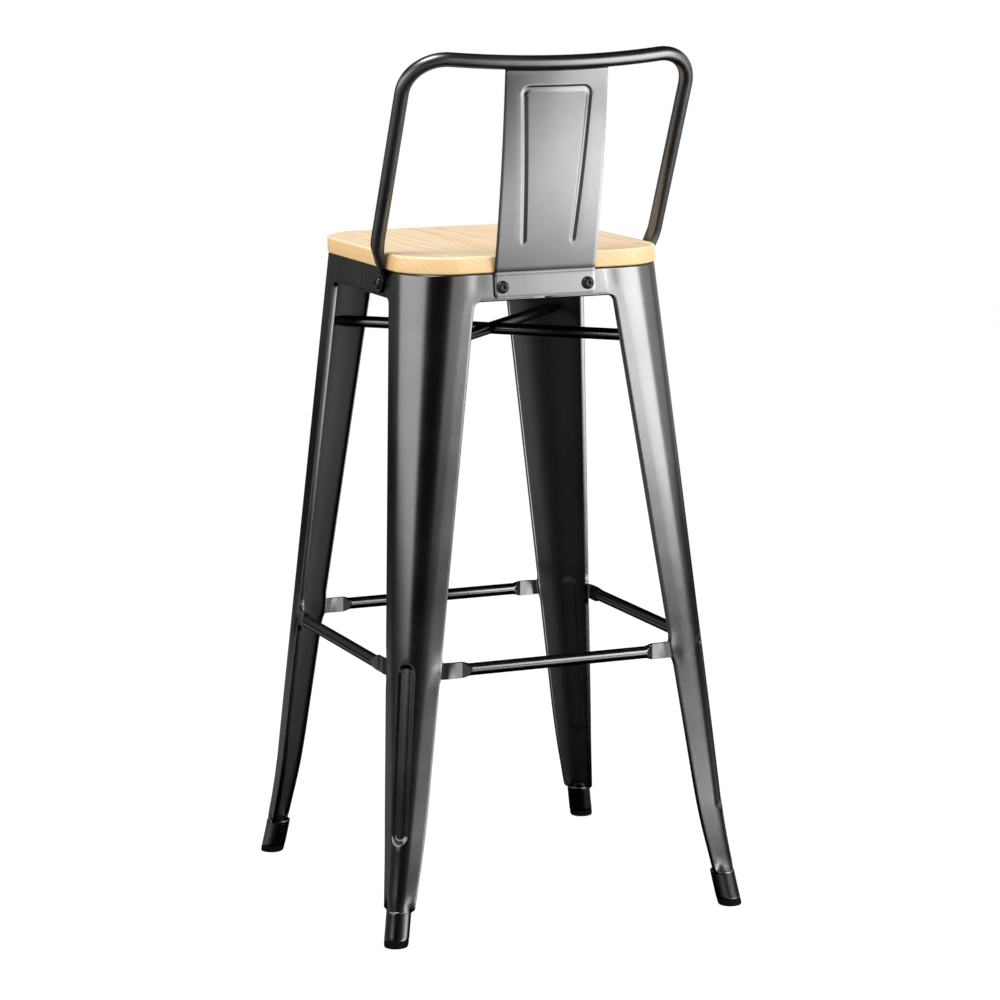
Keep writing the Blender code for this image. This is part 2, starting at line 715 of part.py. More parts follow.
# ---------------------------------------------------------------- fasteners
def make_bolt(name, point, normal, stack, mat):
    """A button head bolt with a hex socket; its head sits on the face that is stack ahead of point."""
    face = stack
    head = BOLT_HEAD_HEIGHT
    profile = [
        (0.0, -0.0085),
        (BOLT_SHANK - 0.0006, -0.0085),
        (BOLT_SHANK, -0.0079),
        (BOLT_SHANK, face),
        (BOLT_HEAD, face),
        (BOLT_HEAD, face + head * 0.22),
        (BOLT_HEAD * 0.90, face + head * 0.55),
        (BOLT_HEAD * 0.70, face + head * 0.85),
        (BOLT_HEAD * 0.45, face + head),
        (0.0, face + head),
    ]
    bolt = add_object(name, lathe(profile, 24), mat)
    floor = face + head * 0.35
    hole = lathe([(0.0, floor), (0.0023, floor), (0.0023, face + 0.01), (0.0, face + 0.01)], 6)
    tool = as_cutter(add_object(name + "_socket", hole, mat))
    boolean(bolt, tool, "DIFFERENCE")
    bolt.data.transform(axis_frame(point, normal))
    return bolt


def make_nut(name, point, normal, mat):
    """A hexagon nut behind the sheet, clear of the shank."""
    face = -SHEET - 0.0003
    radius = NUT_FLATS / 2.0 / math.cos(math.radians(30.0))
    outer = [circle((0.0, 0.0), radius, 24, z) for z in (face - NUT_HEIGHT, face)]
    for ring in outer:
        for p in ring:
            angle = math.atan2(p.y, p.x)
            turn = (angle + math.radians(30.0)) % math.radians(60.0) - math.radians(30.0)
            scale = NUT_FLATS / 2.0 / math.cos(turn) / radius
            p.x *= scale
            p.y *= scale
    inner = [circle((0.0, 0.0), BOLT_SHANK + GLUE_LINE, 24, z) for z in (face - NUT_HEIGHT, face)]
    bm = tube_body(outer, inner)
    bm.transform(axis_frame(point, normal))
    return add_object(name, bm, mat)


def make_fasteners(mat):
    for side, sx in (("left", 1), ("right", -1)):
        point, normal = apron_point_y(sx * BOLT_X, BOLT_HEIGHT)
        make_bolt("splat_bolt_" + side, point, normal, SPLAT_THICK + 2.0 * GLUE_LINE, mat)
        make_nut("splat_nut_" + side, point, normal, mat)
        point, normal = apron_point_x(sx, HOOP_BOLT_Y, HOOP_BOLT_HEIGHT)
        make_bolt("hoop_bolt_" + side, point, normal, TAB_THICK + 0.0003 + GLUE_LINE + 0.0002, mat)
        make_nut("hoop_nut_" + side, point, normal, mat)


# ---------------------------------------------------------------- seat
def rounded_outline(half_w, half_d, radius, z, steps=10):
    points = []
    for sx, sy, start in ((1, 1, 0.0), (-1, 1, 90.0), (-1, -1, 180.0), (1, -1, 270.0)):
        for k in range(steps + 1):
            angle = math.radians(start + 90.0 * k / steps)
            x = sx * (half_w - radius) + radius * math.cos(angle)
            y = sy * (half_d - radius) + radius * math.sin(angle)
            points.append(Vector((x, y, z)))
    return points


def seat_block(name, mat):
    rings = []
    edge = SEAT_ROUND
    steps = [(SEAT_BOTTOM, 0.0012), (SEAT_BOTTOM + 0.0012, 0.0)]
    for k in range(5):
        angle = math.radians(90.0 * k / 4.0)
        steps.append((SEAT_TOP - edge + edge * math.sin(angle), edge - edge * math.cos(angle)))
    for z, inset in steps:
        rings.append(rounded_outline(SEAT_HALF_X - inset, SEAT_HALF_Y - inset, SEAT_CORNER - inset, z))
    return add_object(name, loft(rings), mat)


def make_boards(mats):
    width = 2.0 * SEAT_HALF_X / BOARD_COUNT
    for k in range(BOARD_COUNT):
        name = "seat_board_" + str(k + 1)
        board = seat_block(name, mats[k % len(mats)])
        low = -SEAT_HALF_X + width * k
        high = low + width
        low += GLUE_LINE / 2.0 if k > 0 else -0.01
        high += -GLUE_LINE / 2.0 if k < BOARD_COUNT - 1 else 0.01
        bm = bmesh.new()
        bmesh.ops.create_cube(bm, size=1.0)
        for v in bm.verts:
            v.co.x = low if v.co.x < 0.0 else high
            v.co.y *= 0.5
            v.co.z = SEAT_TOP + v.co.z * 0.1
        tool = as_cutter(add_object(name + "_slice", bm, mats[0]))
        boolean(board, tool, "INTERSECT")
        for sx in (-1, 1):
            if low < sx * SCREW_X < high:
                for sy in (-1, 1):
                    spot = (sx * SCREW_X, sy * SCREW_Y, SEAT_BOTTOM)
                    drill(board, spot, (0.0, 0.0, 1.0), 0.0023, 0.004, 0.0125, 16)


def make_pan(mat):
    """A pressed plate inside the apron band with a turned down edge, under the boards."""
    bm = bmesh.new()
    inset = SHEET + 0.0006
    rings = []
    for z in (APRON_TOP, APRON_TOP - PAN_DROP):
        hx = half_x(z) - inset
        hy = half_y(z) - inset
        rings.append(add_ring(bm, rounded_outline(hx, hy, corner_radius(z) - inset, z, 12)))
    bridge(bm, rings[1], rings[0])
    bm.faces.new(rings[0])
    rim = [e for e in bm.edges if all(abs(v.co.z - APRON_TOP) < 1e-6 for v in e.verts)]
    bmesh.ops.bevel(bm, geom=rim, offset=0.0016, segments=2, profile=0.5, affect="EDGES", clamp_overlap=True)
    bmesh.ops.recalc_face_normals(bm, faces=bm.faces)
    top = max(bm.faces, key=lambda f: f.calc_area())
    if top.normal.z < 0.0:
        bmesh.ops.reverse_faces(bm, faces=bm.faces)
    mesh = bpy.data.meshes.new("seat_pan")
    bm.to_mesh(mesh)
    bm.free()
    mesh.materials.append(mat)
    pan = bpy.data.objects.new("seat_pan", mesh)
    bpy.data.collections[PARTS].objects.link(pan)
    solid = pan.modifiers.new("thickness", "SOLIDIFY")
    solid.thickness = PAN_SHEET
    solid.offset = -1.0
    solid.use_even_offset = True
    apply_modifiers(pan)
    for sx in (-1, 1):
        for sy in (-1, 1):
            drill(pan, (sx * SCREW_X, sy * SCREW_Y, APRON_TOP), (0.0, 0.0, 1.0), 0.0023, 0.004, 0.004, 16)


def make_screws(mat):
    head_top = APRON_TOP - PAN_SHEET - 0.0003
    for side, sx in (("left", 1), ("right", -1)):
        for end, sy in (("rear", 1), ("front", -1)):
            profile = [
                (0.0, head_top - 0.0026),
                (0.0024, head_top - 0.0026),
                (0.0040, head_top - 0.0014),
                (0.0042, head_top),
                (0.0019, head_top),
                (0.0019, SEAT_BOTTOM + 0.0090),
                (0.0, SEAT_BOTTOM + 0.0115),
            ]
            bm = lathe(profile, 16)
            bm.transform(Matrix.Translation((sx * SCREW_X, sy * SCREW_Y, 0.0)))
            add_object("seat_screw_" + end + "_" + side, bm, mat)


def main():
    clear_scene()
    make_collections()
    steel = material("painted_steel", (0.045, 0.047, 0.050), 0.85, 0.34)
    bolts = material("black_fastener", (0.020, 0.020, 0.022), 0.80, 0.42)
    rubber = material("rubber", (0.012, 0.012, 0.012), 0.0, 0.80)
    wood = material("light_wood", (0.780, 0.560, 0.300), 0.0, 0.50)
    make_legs(steel)
    make_feet(rubber)
    make_footrests(steel)
    make_brace(steel)
    make_hoop(steel)
    make_splat(steel)
    make_fasteners(bolts)
    make_boards([wood])
    make_pan(steel)
    make_screws(bolts)


main()
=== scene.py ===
"""Bar stool: pressed steel legs, footrest rails, cross brace, hoop back with splat and a board seat."""

import math

import bmesh
import bpy
from bpy.props import FloatProperty, FloatVectorProperty, PointerProperty
from bpy.types import Operator, Panel, PropertyGroup
from mathutils import Matrix, Vector


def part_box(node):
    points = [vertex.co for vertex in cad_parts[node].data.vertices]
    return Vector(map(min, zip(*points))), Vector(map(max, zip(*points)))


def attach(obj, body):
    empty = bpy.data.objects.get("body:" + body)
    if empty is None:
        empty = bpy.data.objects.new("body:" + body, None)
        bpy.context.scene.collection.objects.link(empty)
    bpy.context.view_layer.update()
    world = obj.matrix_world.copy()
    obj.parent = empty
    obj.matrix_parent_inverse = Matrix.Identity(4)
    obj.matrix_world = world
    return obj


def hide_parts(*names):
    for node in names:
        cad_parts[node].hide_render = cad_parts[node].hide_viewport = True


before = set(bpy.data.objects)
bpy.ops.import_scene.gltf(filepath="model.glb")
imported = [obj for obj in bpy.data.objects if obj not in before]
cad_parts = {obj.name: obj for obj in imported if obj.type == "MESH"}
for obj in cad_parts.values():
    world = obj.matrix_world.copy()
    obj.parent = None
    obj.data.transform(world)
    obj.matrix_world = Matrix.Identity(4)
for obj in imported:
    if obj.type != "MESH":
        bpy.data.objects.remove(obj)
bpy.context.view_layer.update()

bl_info = {
    "name": "Bar Stool Builder",
    "version": (1, 0, 0),
    "blender": (4, 5, 0),
    "location": "View3D > Sidebar > Bar Stool",
    "description": "Builds the detailed pieces, finishes and studio stage of a bar stool with a hoop back",
    "category": "Add Mesh",
}

# The frame's outline, metres. The sitter faces -Y and the hoop back is on +Y.
SEAT_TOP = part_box("seat_board_3")[1].z
SEAT_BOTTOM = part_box("seat_board_3")[0].z
SEAT_HALF_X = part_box("seat_board_6")[1].x
SEAT_HALF_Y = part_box("seat_board_3")[1].y
SEAT_CORNER = 0.0630
BOARD_COUNT = 6
DEPTH_RATIO = 1.05
LEG_SLOPE = 0.0767
GAP = 0.0003
APRON_BOTTOM = 0.7090
APRON_FILLET = 0.0065
WING_LOW = 0.0370
NOTCH = 0.0048
COLLAR_TOP = 0.0392
COLLAR_RADIUS = 0.01405
APRON_PARTS = (0.975, 0.950, 0.922, 0.890, 0.850, 0.800, 0.730, 0.600, 0.400, 0.200, 0.0)
RIB_LOW = 0.1115
RIB_HIGH = 0.3145
RIB_HALF = 0.0118
COLLAR_BOTTOM = 0.0080
FOOT_TOP = 0.0077
RAIL_HEIGHT = 0.3030
BRACE_HEIGHT = 0.6570
HOOP_HALF = 0.1692
HOOP_LEAN = 0.4864
HOOP_Y_AT_080 = 0.1024
HOOP_RISE = 0.2042
HOOP_BOW = 0.0235
HOOP_CORNER = 0.0460
SPLAT_HALF = 0.0609
SPLAT_BEND = 0.7400
SPLAT_LOW = 0.7125
SPLAT_CURVE_RISE = 0.2350
GROOVE_END = 0.7765
GROOVE_TOP = 0.9450
GROOVE_X_END = 0.0296
GROOVE_X_TOP = 0.0388
GROOVE_CORNER = 0.0075
GROOVE_HALF = 0.0045
BRACE_RADIUS = 0.0068
BOLT_X = 0.0513
BOLT_HEIGHT = 0.7245
HOOP_BOLT_Y = 0.0680
LEG_CORNERS = (("rear_left", 1, 1), ("rear_right", -1, 1), ("front_left", 1, -1), ("front_right", -1, -1))
# Each board's place in its log: the pith's x and z, the ring pitch, and how warm its tone is.
LOG_PLACES = (
    (-0.170, 0.700, 0.0058, 0.55),
    (-0.045, 0.640, 0.0074, 0.85),
    (-0.0865, 0.735, 0.0046, 0.15),
    (-0.020, 0.600, 0.0086, 0.70),
    (0.120, 0.690, 0.0062, 0.30),
    (0.095, 0.800, 0.0052, 0.95),
)


# ---------------------------------------------------------------- settings
class BARSTOOL_PG_metal(PropertyGroup):
    """Painted steel and fasteners."""

    steel_colour: FloatVectorProperty(
        name="Steel Paint", description="Body colour of the metallic lacquer", subtype="COLOR",
        size=3, min=0.0, max=1.0, default=(0.127, 0.1272, 0.1285))
    worn_colour: FloatVectorProperty(
        name="Edge Tone", description="Colour where the lacquer is thin on folded edges", subtype="COLOR",
        size=3, min=0.0, max=1.0, default=(0.176, 0.1765, 0.179))
    bolt_colour: FloatVectorProperty(
        name="Bolt Finish", description="Colour of the blackened bolts, nuts and screws", subtype="COLOR",
        size=3, min=0.0, max=1.0, default=(0.022, 0.022, 0.023))
    rubber_colour: FloatVectorProperty(
        name="Rubber", description="Colour of the rubber feet", subtype="COLOR",
        size=3, min=0.0, max=1.0, default=(0.0022, 0.0022, 0.0024))
    steel_roughness: FloatProperty(
        name="Steel Roughness", description="Roughness of the lacquered steel", subtype="FACTOR",
        min=0.05, max=1.0, default=0.22)


class BARSTOOL_PG_wood(PropertyGroup):
    """Seat boards."""

    pale_colour: FloatVectorProperty(
        name="Early Wood", description="Colour of the pale wood between the growth lines", subtype="COLOR",
        size=3, min=0.0, max=1.0, default=(0.850, 0.700, 0.480))
    grain_colour: FloatVectorProperty(
        name="Late Wood", description="Colour of the darker growth lines", subtype="COLOR",
        size=3, min=0.0, max=1.0, default=(0.600, 0.370, 0.165))
    # Side tone: laid on every face that turns away from straight up; partly the sides' own warmer tone,
    # partly painted shade.
    side_shade_colour: FloatVectorProperty(
        name="Side Tone And Shade", description="Warmer, darker colour of the sides, partly painted shade", subtype="COLOR",
        size=3, min=0.0, max=1.0, default=(0.620, 0.402, 0.172))
    edge_round: FloatProperty(
        name="Edge Rounding", description="Radius of the seat's top edge", unit="LENGTH",
        min=0.0005, max=0.006, default=0.0030)


class BARSTOOL_PG_shape(PropertyGroup):
    """Sheet and tube sizes."""

    sheet: FloatProperty(
        name="Leg Sheet", description="Thickness of the pressed leg sheet", unit="LENGTH",
        min=0.0008, max=0.003, default=0.0014)
    lip: FloatProperty(
        name="Folded Lip", description="Width of the lip along the legs' free edges", unit="LENGTH",
        min=0.003, max=0.010, default=0.0060)
    lip_bend: FloatProperty(
        name="Lip Bend", description="Rounding where the lip is folded", unit="LENGTH",
        min=0.0005, max=0.004, default=0.0020)
    rib_depth: FloatProperty(
        name="Rib Depth", description="How far the rib in each leg corner is pressed in", unit="LENGTH",
        min=0.0, max=0.004, default=0.0030)
    rib_wall: FloatProperty(
        name="Rib Wall", description="Width of the rib's sloping side", unit="LENGTH",
        min=0.002, max=0.009, default=0.0058)
    hoop_radius: FloatProperty(
        name="Hoop Tube Radius", description="Radius of the hoop back's tube", unit="LENGTH",
        min=0.006, max=0.010, default=0.0080)
    rail_radius: FloatProperty(
        name="Rail Tube Radius", description="Radius of the footrest tube", unit="LENGTH",
        min=0.005, max=0.009, default=0.0070)
    groove_depth: FloatProperty(
        name="Groove Depth", description="Depth of the pressed groove in the splat", unit="LENGTH",
        min=0.0, max=0.003, default=0.0011)
    splat_sheet: FloatProperty(
        name="Splat Sheet", description="Thickness of the splat", unit="LENGTH",
        min=0.001, max=0.004, default=0.0020)


class BARSTOOL_PG_stage(PropertyGroup):
    """Floor, lights and camera."""

    floor_colour: FloatVectorProperty(
        name="Floor", description="Colour of the studio floor", subtype="COLOR",
        size=3, min=0.0, max=1.0, default=(0.90, 0.90, 0.90))
    key_power: FloatProperty(
        name="Key Light", description="Power of the large soft light behind the stool's right side",
        min=0.0, default=53.0)
    side_power: FloatProperty(
        name="Side Light", description="Power of the tall soft light beside the stool's left side",
        min=0.0, default=31.5)
    card_strength: FloatProperty(
        name="Reflector Card", description="Brightness of the low card that the splat mirrors",
        min=0.0, default=7.0)
    front_power: FloatProperty(
        name="Front Light", description="Power of the soft light in front of the stool",
        min=0.0, default=7.5)
    top_power: FloatProperty(
        name="Top Light", description="Power of the soft light above the seat", min=0.0, default=51.0)
    camera_lens: FloatProperty(
        name="Lens", description="Focal length of the camera in millimetres",
        min=20.0, max=300.0, default=129.46)


# ---------------------------------------------------------------- mesh tools
def smooth_step(value):
    t = min(1.0, max(0.0, value))
    return t * t * (3.0 - 2.0 * t)


def mix(a, b, t):
    return a + (b - a) * t


def spread(start, end, count):
    """Evenly spaced values from start to end, both included."""
    return [start + (end - start) * k / (count - 1) for k in range(count)]


def add_row(bm, points):
    return [bm.verts.new(p) for p in points]


def turns(count, part=0.0):
    """Angles all the way round, shifted by a part of one step."""
    return [2.0 * math.pi * (i + part) / count for i in range(count)]


def circle(radius, z, count):
    return [(radius * math.cos(a), radius * math.sin(a), z) for a in turns(count)]


def hexagon(reach, z, count, limit=1.0):
    """Points on a hexagon with the given distance to its flats, cut back to a circle at the limit."""
    points = []
    for angle in turns(count):
        away = min(limit, reach / math.cos(angle % (math.pi / 3.0) - math.pi / 6.0))
        points.append((away * math.cos(angle), away * math.sin(angle), z))
    return points


def skin_rows(bm, rows, closed=False):
    """Quads between neighbouring rows that all have the same number of points."""
    for low, high in zip(rows, rows[1:]):
        count = len(low)
        for i in range(count if closed else count - 1):
            j = (i + 1) % count
            bm.faces.new((low[i], low[j], high[j], high[i]))


def finish_piece(name, bm, material, node=None, sharp=35.0, recalc=True, inner=None):
    """Turn the mesh into an object that rides on the frame and stands for its CAD node."""
    if recalc:
        bmesh.ops.recalc_face_normals(bm, faces=bm.faces)
    limit = math.radians(sharp)
    for face in bm.faces:
        face.smooth = True
    for edge in bm.edges:
        if len(edge.link_faces) == 2:
            edge.smooth = edge.calc_face_angle(0.0) < limit
    mesh = bpy.data.meshes.new(name)
    bm.to_mesh(mesh)
    bm.free()
    mesh.materials.append(material)
    if inner is not None:
        mesh.materials.append(inner)
    piece = bpy.data.objects.new(name, mesh)
    bpy.context.scene.collection.objects.link(piece)
    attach(piece, "root")
    if node:
        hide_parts(node)
    return piece


def loft(rings, caps=True):
    """A closed body through rings with equal point counts."""
    bm = bmesh.new()
    rows = [add_row(bm, ring) for ring in rings]
    skin_rows(bm, rows, closed=True)
    if caps:
        bm.faces.new(rows[0])
        bm.faces.new(rows[-1])
    return bm


def axis_frame(origin, axis):
    """A matrix that carries +Z to the given axis and the origin to the given point."""
    turn = Vector((0.0, 0.0, 1.0)).rotation_difference(Vector(axis).normalized())
    return Matrix.Translation(Vector(origin)) @ turn.to_matrix().to_4x4()


def flat_ring(half_a, half_b, flatness, count):
    """Pairs (a, b) on a ring between an ellipse, flatness 0, and a bar with rounded corners, flatness 1."""
    power = 2.0 / (2.0 + 7.0 * flatness)
    pairs = []
    for angle in turns(count, 0.5):
        c = math.cos(angle)
        s = math.sin(angle)
        a = math.copysign(abs(c) ** power, c) * half_a
        b = math.copysign(abs(s) ** power, s) * half_b
        pairs.append((a, b))
    return pairs


def thicken(bm, thickness, inner_slot=0):
    """Give an open sheet its thickness on the inner side, with a softened rim."""
    mesh = bpy.data.meshes.new("sheet_blank")
    bm.to_mesh(mesh)
    bm.free()
    mesh.materials.append(None)
    mesh.materials.append(None)
    blank = bpy.data.objects.new("sheet_blank", mesh)
    bpy.context.scene.collection.objects.link(blank)
    solid = blank.modifiers.new("thickness", "SOLIDIFY")
    solid.thickness = thickness
    solid.offset = -1.0
    solid.use_even_offset = True
    solid.use_rim = True
    solid.material_offset = inner_slot
    soft = blank.modifiers.new("rim", "BEVEL")
    soft.width = thickness * 0.22
    soft.segments = 2
    soft.limit_method = "ANGLE"
    soft.angle_limit = math.radians(50.0)
    bpy.context.view_layer.update()
    graph = bpy.context.evaluated_depsgraph_get()
    solid_bm = bmesh.new()
    solid_bm.from_object(blank, graph)
    bpy.data.objects.remove(blank, do_unlink=True)
    bpy.data.meshes.remove(mesh)
    return solid_bm


def outward(bm, test):
    """Turn an open sheet so that the faces found by the test point out."""
    bmesh.ops.recalc_face_normals(bm, faces=bm.faces)
    if sum(test(face) for face in bm.faces) < 0.0:
        bmesh.ops.reverse_faces(bm, faces=bm.faces)


# ---------------------------------------------------------------- leg shape
def half_x(z):
    """Half width of the frame's outside face at height z."""
    value = 0.2031 - LEG_SLOPE * (z - 0.13)
    if z < 0.125:
        value += 0.457 * (0.125 - z) ** 2
    return value


def half_y(z):
    return half_x(z) * DEPTH_RATIO


def wing(z, bend=0.0):
    """Width of a leg wing from the frame's outside corner; a bend leaves out the part that folds round."""
    width = 0.0288 + 0.0650 * z - bend
    start = APRON_BOTTOM - APRON_FILLET
    fillet = APRON_FILLET + bend
    if z > start:
        rise = min(fillet, z - start)
        width += fillet - math.sqrt(max(0.0, fillet ** 2 - rise ** 2))
    if z < 0.150:
        width -= 0.0036 * ((0.150 - z) / 0.1130) ** 1.4
    if z < WING_LOW:
        fall = min(NOTCH, WING_LOW - z)
        width -= math.sqrt(max(0.0, NOTCH ** 2 - (NOTCH - fall) ** 2))
    off_rail = max(0.0, abs(z - RAIL_HEIGHT) - 0.0088) / 0.0095
    width += 0.0017 * max(0.0, 1.0 - off_rail) ** 2
    return width


def corner_radius(z):
    return 0.0143 + 0.0677 * (z - 0.04)


def rib_press(along, z, shape):
    """How far the rib is pressed in, at a distance along the corner from its middle."""
    nearest = min(RIB_HIGH - RIB_HALF, max(RIB_LOW + RIB_HALF, z))
    past = abs(z - nearest)
    distance = (abs(along) ** 2.2 + (past * 0.95) ** 2.2) ** (1.0 / 2.2)
    wall = shape.rib_wall * (1.0 + 0.65 * min(1.0, past / RIB_HALF))
    return shape.rib_depth * smooth_step((RIB_HALF - distance) / wall)


def collar_centre(z):
    return Vector((half_x(z) - 0.0141, half_y(z) - 0.0141, z))


def wing_press(edge, z):
    """How far the sheet is drawn in near the free edge by the rail's weld."""
    pull = 0.0013 * math.exp(-((z - RAIL_HEIGHT) / 0.0145) ** 2)
    return pull * smooth_step(1.0 - edge / 0.0150)


def collar_fold(span, z):
    """How far the sheet has closed on to the collar, from 0 to 1; near the corner it closes first."""
    off_corner = smooth_step((span - 0.0050) / 0.0080)
    begin = WING_LOW + mix(0.0160, 0.0040, off_corner)
    return smooth_step((begin - z) / mix(0.0125, 0.0078, off_corner))


def apron_dent(u, z):
    """A shallow hollow that the pressing leaves above the free edge of each wing."""
    hollow = 0.00034 * math.exp(-((u - 0.0765) / 0.0085) ** 2) * smooth_step((z - 0.7130) / 0.0150)
    swell = 0.00010 * math.exp(-((u - 0.0600 - (z - 0.700) * 0.25) / 0.0070) ** 2)
    return hollow - swell * smooth_step((z - 0.6800) / 0.03)


def leg_section(z, shape):
    """Outer sheet at height z, from the +X wing's free edge round the corner to the +Y wing's free edge."""
    hx = half_x(z)
    hy = half_y(z)
    radius = corner_radius(z)
    half_arc = radius * math.pi / 4.0
    fit = min(1.0, 0.92 * half_arc / RIB_HALF)
    inner = [fit * RIB_HALF * k / 13.0 for k in range(14)]
    half = inner + [inner[-1] + (half_arc - inner[-1]) * k / 6.0 for k in range(1, 7)]
    curl = 0.05 * smooth_step((0.0700 - z) / 0.0300)
    centre = collar_centre(z)
    length = wing(z, shape.lip_bend) - radius
    wrap = COLLAR_RADIUS - 0.0007
    side = []
    for k in range(7):
        span = length * (1.0 - k / 7.0)
        start = Vector((hx - radius + radius * math.cos(curl), hy - radius - radius * math.sin(curl), z))
        flat = start + Vector((-math.sin(curl), -math.cos(curl), 0.0)) * span
        flat.x -= wing_press(length - span, z) + apron_dent(radius + span, z)
        turn = -curl - span / wrap
        fold = collar_fold(span, z)
        wrapped = centre + Vector((math.cos(turn), math.sin(turn), 0.0)) * wrap
        side.append(flat.lerp(wrapped, fold))
    points = list(side)
    fold = collar_fold(0.0, z)
    for s in [-v for v in reversed(half[1:])] + half:
        angle = math.pi / 4.0 + s / half_arc * (math.pi / 4.0 + curl)
        r = radius - rib_press(s, z, shape)
        flat = Vector((hx - radius + r * math.cos(angle), hy - radius + r * math.sin(angle), z))
        wrapped = centre + Vector((math.cos(angle), math.sin(angle), 0.0)) * wrap
        points.append(flat.lerp(wrapped, fold))
    for p in reversed(side):
        points.append(Vector((hx - (hy - p.y), hy - (hx - p.x), z)))
    return points


def leg_heights(shape):
    """Heights of the sheet's rows: close together at the collar, the rib's ends and the apron fillet."""
    rows = spread(WING_LOW - NOTCH, WING_LOW, 10)
    rows += [WING_LOW + 0.0012, WING_LOW + 0.0026, WING_LOW + 0.0044, 0.047, 0.052, 0.060, 0.070]
    rows += [0.080, 0.090, 0.098, 0.103]
    rows += spread(RIB_LOW, RIB_LOW + 0.0140, 20)
    rows += [0.130, 0.150, 0.175, 0.200, 0.225, 0.250, 0.268, 0.276]
    rows += spread(0.2820, 0.3000, 10)
    rows += spread(RIB_HIGH - 0.0140, RIB_HIGH, 20)
    rows += [0.320, 0.326, 0.334, 0.345, 0.370, 0.41, 0.46, 0.51, 0.56, 0.61, 0.65, 0.68]
    start = APRON_BOTTOM - APRON_FILLET
    fillet = APRON_FILLET + shape.lip_bend
    rows += [start + fillet * math.sin(math.radians(90.0 * k / 12.0)) for k in range(13)]
    rows += [0.7150, 0.7190, 0.7240, 0.7290, 0.7340, 0.7370, 0.7385]
    return rows


def fold_lip(bm, chain, inward, shape):
    """Round the sheet's free edge and turn it in to a lip.

    The chain is where the fold begins and runs from the apron's middle to the leg's end.
    """
    starts = [v.co.copy() for v in chain]
    steps = 6
    rows = [[] for _ in range(steps + 2)]
    bend = shape.lip_bend
    for k, start in enumerate(starts):
        before = starts[max(0, k - 1)]
        after = starts[min(len(starts) - 1, k + 1)]
        side = (after - before).normalized().cross(inward)
        if side.z < -0.2 or (abs(side.z) <= 0.2 and side.dot(start) < 0.0):
            side.negate()
        pivot = start + inward * bend
        for step in range(1, steps + 1):
            angle = math.radians(90.0 * step / steps)
            reach = inward * math.cos(angle) + side * math.sin(angle)
            rows[step - 1].append(bm.verts.new(pivot - reach * bend))
        edge = start - side * bend
        rows[steps].append(bm.verts.new(edge + inward * (bend + shape.lip) * 0.5))
        rows[steps + 1].append(bm.verts.new(edge + inward * shape.lip))
    for near, far in zip([chain] + rows[:-1], rows):
        for k in range(len(chain) - 1):
            bm.faces.new((near[k], near[k + 1], far[k + 1], far[k]))


def leg_sheet(sx, sy, shape):
    """One leg with its two half aprons, its folded lips and its turned top edge, as a solid sheet."""
    bm = bmesh.new()
    heights = leg_heights(shape)
    grid = [add_row(bm, leg_section(z, shape)) for z in heights]
    round_top = []
    for turn in (30.0, 60.0, 90.0):
        inset = 0.0020 * (1.0 - math.cos(math.radians(turn)))
        z = 0.7385 + 0.0020 * math.sin(math.radians(turn))
        ring = leg_section(0.7385, shape)
        radius = corner_radius(0.7385)
        middle = Vector((half_x(0.7385) - radius, half_y(0.7385) - radius, 0.0))
        moved = []
        for p in ring:
            away = Vector((max(0.0, p.x - middle.x), max(0.0, p.y - middle.y), 0.0)).normalized()
            moved.append(Vector((p.x, p.y, z)) - away * inset)
        round_top.append((moved, inset, z))
        grid.append(add_row(bm, moved))
    skin_rows(bm, grid)
    first = heights.index(0.7150) - 1
    levels = [(z, 0.0, z) for z in heights[first:]] + [(0.7385, inset, z) for _, inset, z in round_top]
    ends_x = [row[0] for row in grid[first:]]
    ends_y = [row[-1] for row in grid[first:]]
    reach_x = [v.co.y for v in ends_x]
    reach_y = [v.co.x for v in ends_y]
    before_x = ends_x
    before_y = ends_y
    for part in APRON_PARTS:
        next_x = []
        next_y = []
        for k, (z, inset, top) in enumerate(levels):
            along_x = mix(GAP / 2.0, reach_x[k], part)
            along_y = mix(GAP / 2.0, reach_y[k], part)
            dent_x = apron_dent(half_y(z) - along_x, z)
            dent_y = apron_dent(half_x(z) - along_y, z)
            next_x.append(bm.verts.new((half_x(z) - inset - dent_x, along_x, top)))
            next_y.append(bm.verts.new((along_y, half_y(z) - inset - dent_y, top)))
        for row, before in ((next_x, before_x), (next_y, before_y)):
            for k in range(len(row) - 1):
                bm.faces.new((row[k], before[k], before[k + 1], row[k + 1]))
        if part == APRON_PARTS[0]:
            chain_x = [next_x[0]]
            chain_y = [next_y[0]]
        else:
            chain_x.insert(0, next_x[0])
            chain_y.insert(0, next_y[0])
        before_x = next_x
        before_y = next_y
    stop = heights.index(WING_LOW + 0.0026)
    chain_x += [row[0] for row in reversed(grid[stop:first + 1])]
    chain_y += [row[-1] for row in reversed(grid[stop:first + 1])]
    fold_lip(bm, chain_x, Vector((-1.0, 0.0, 0.0)), shape)
    fold_lip(bm, chain_y, Vector((0.0, -1.0, 0.0)), shape)
    outward(bm, lambda f: f.calc_area() * (f.normal.x + f.normal.y))
    for v in bm.verts:
        v.co.x *= sx
        v.co.y *= sy
    if sx * sy < 0.0:
        bmesh.ops.reverse_faces(bm, faces=bm.faces)
    # The inside faces take slot 1, the painted-shade copy of the lacquer.
    return thicken(bm, shape.sheet, 1)


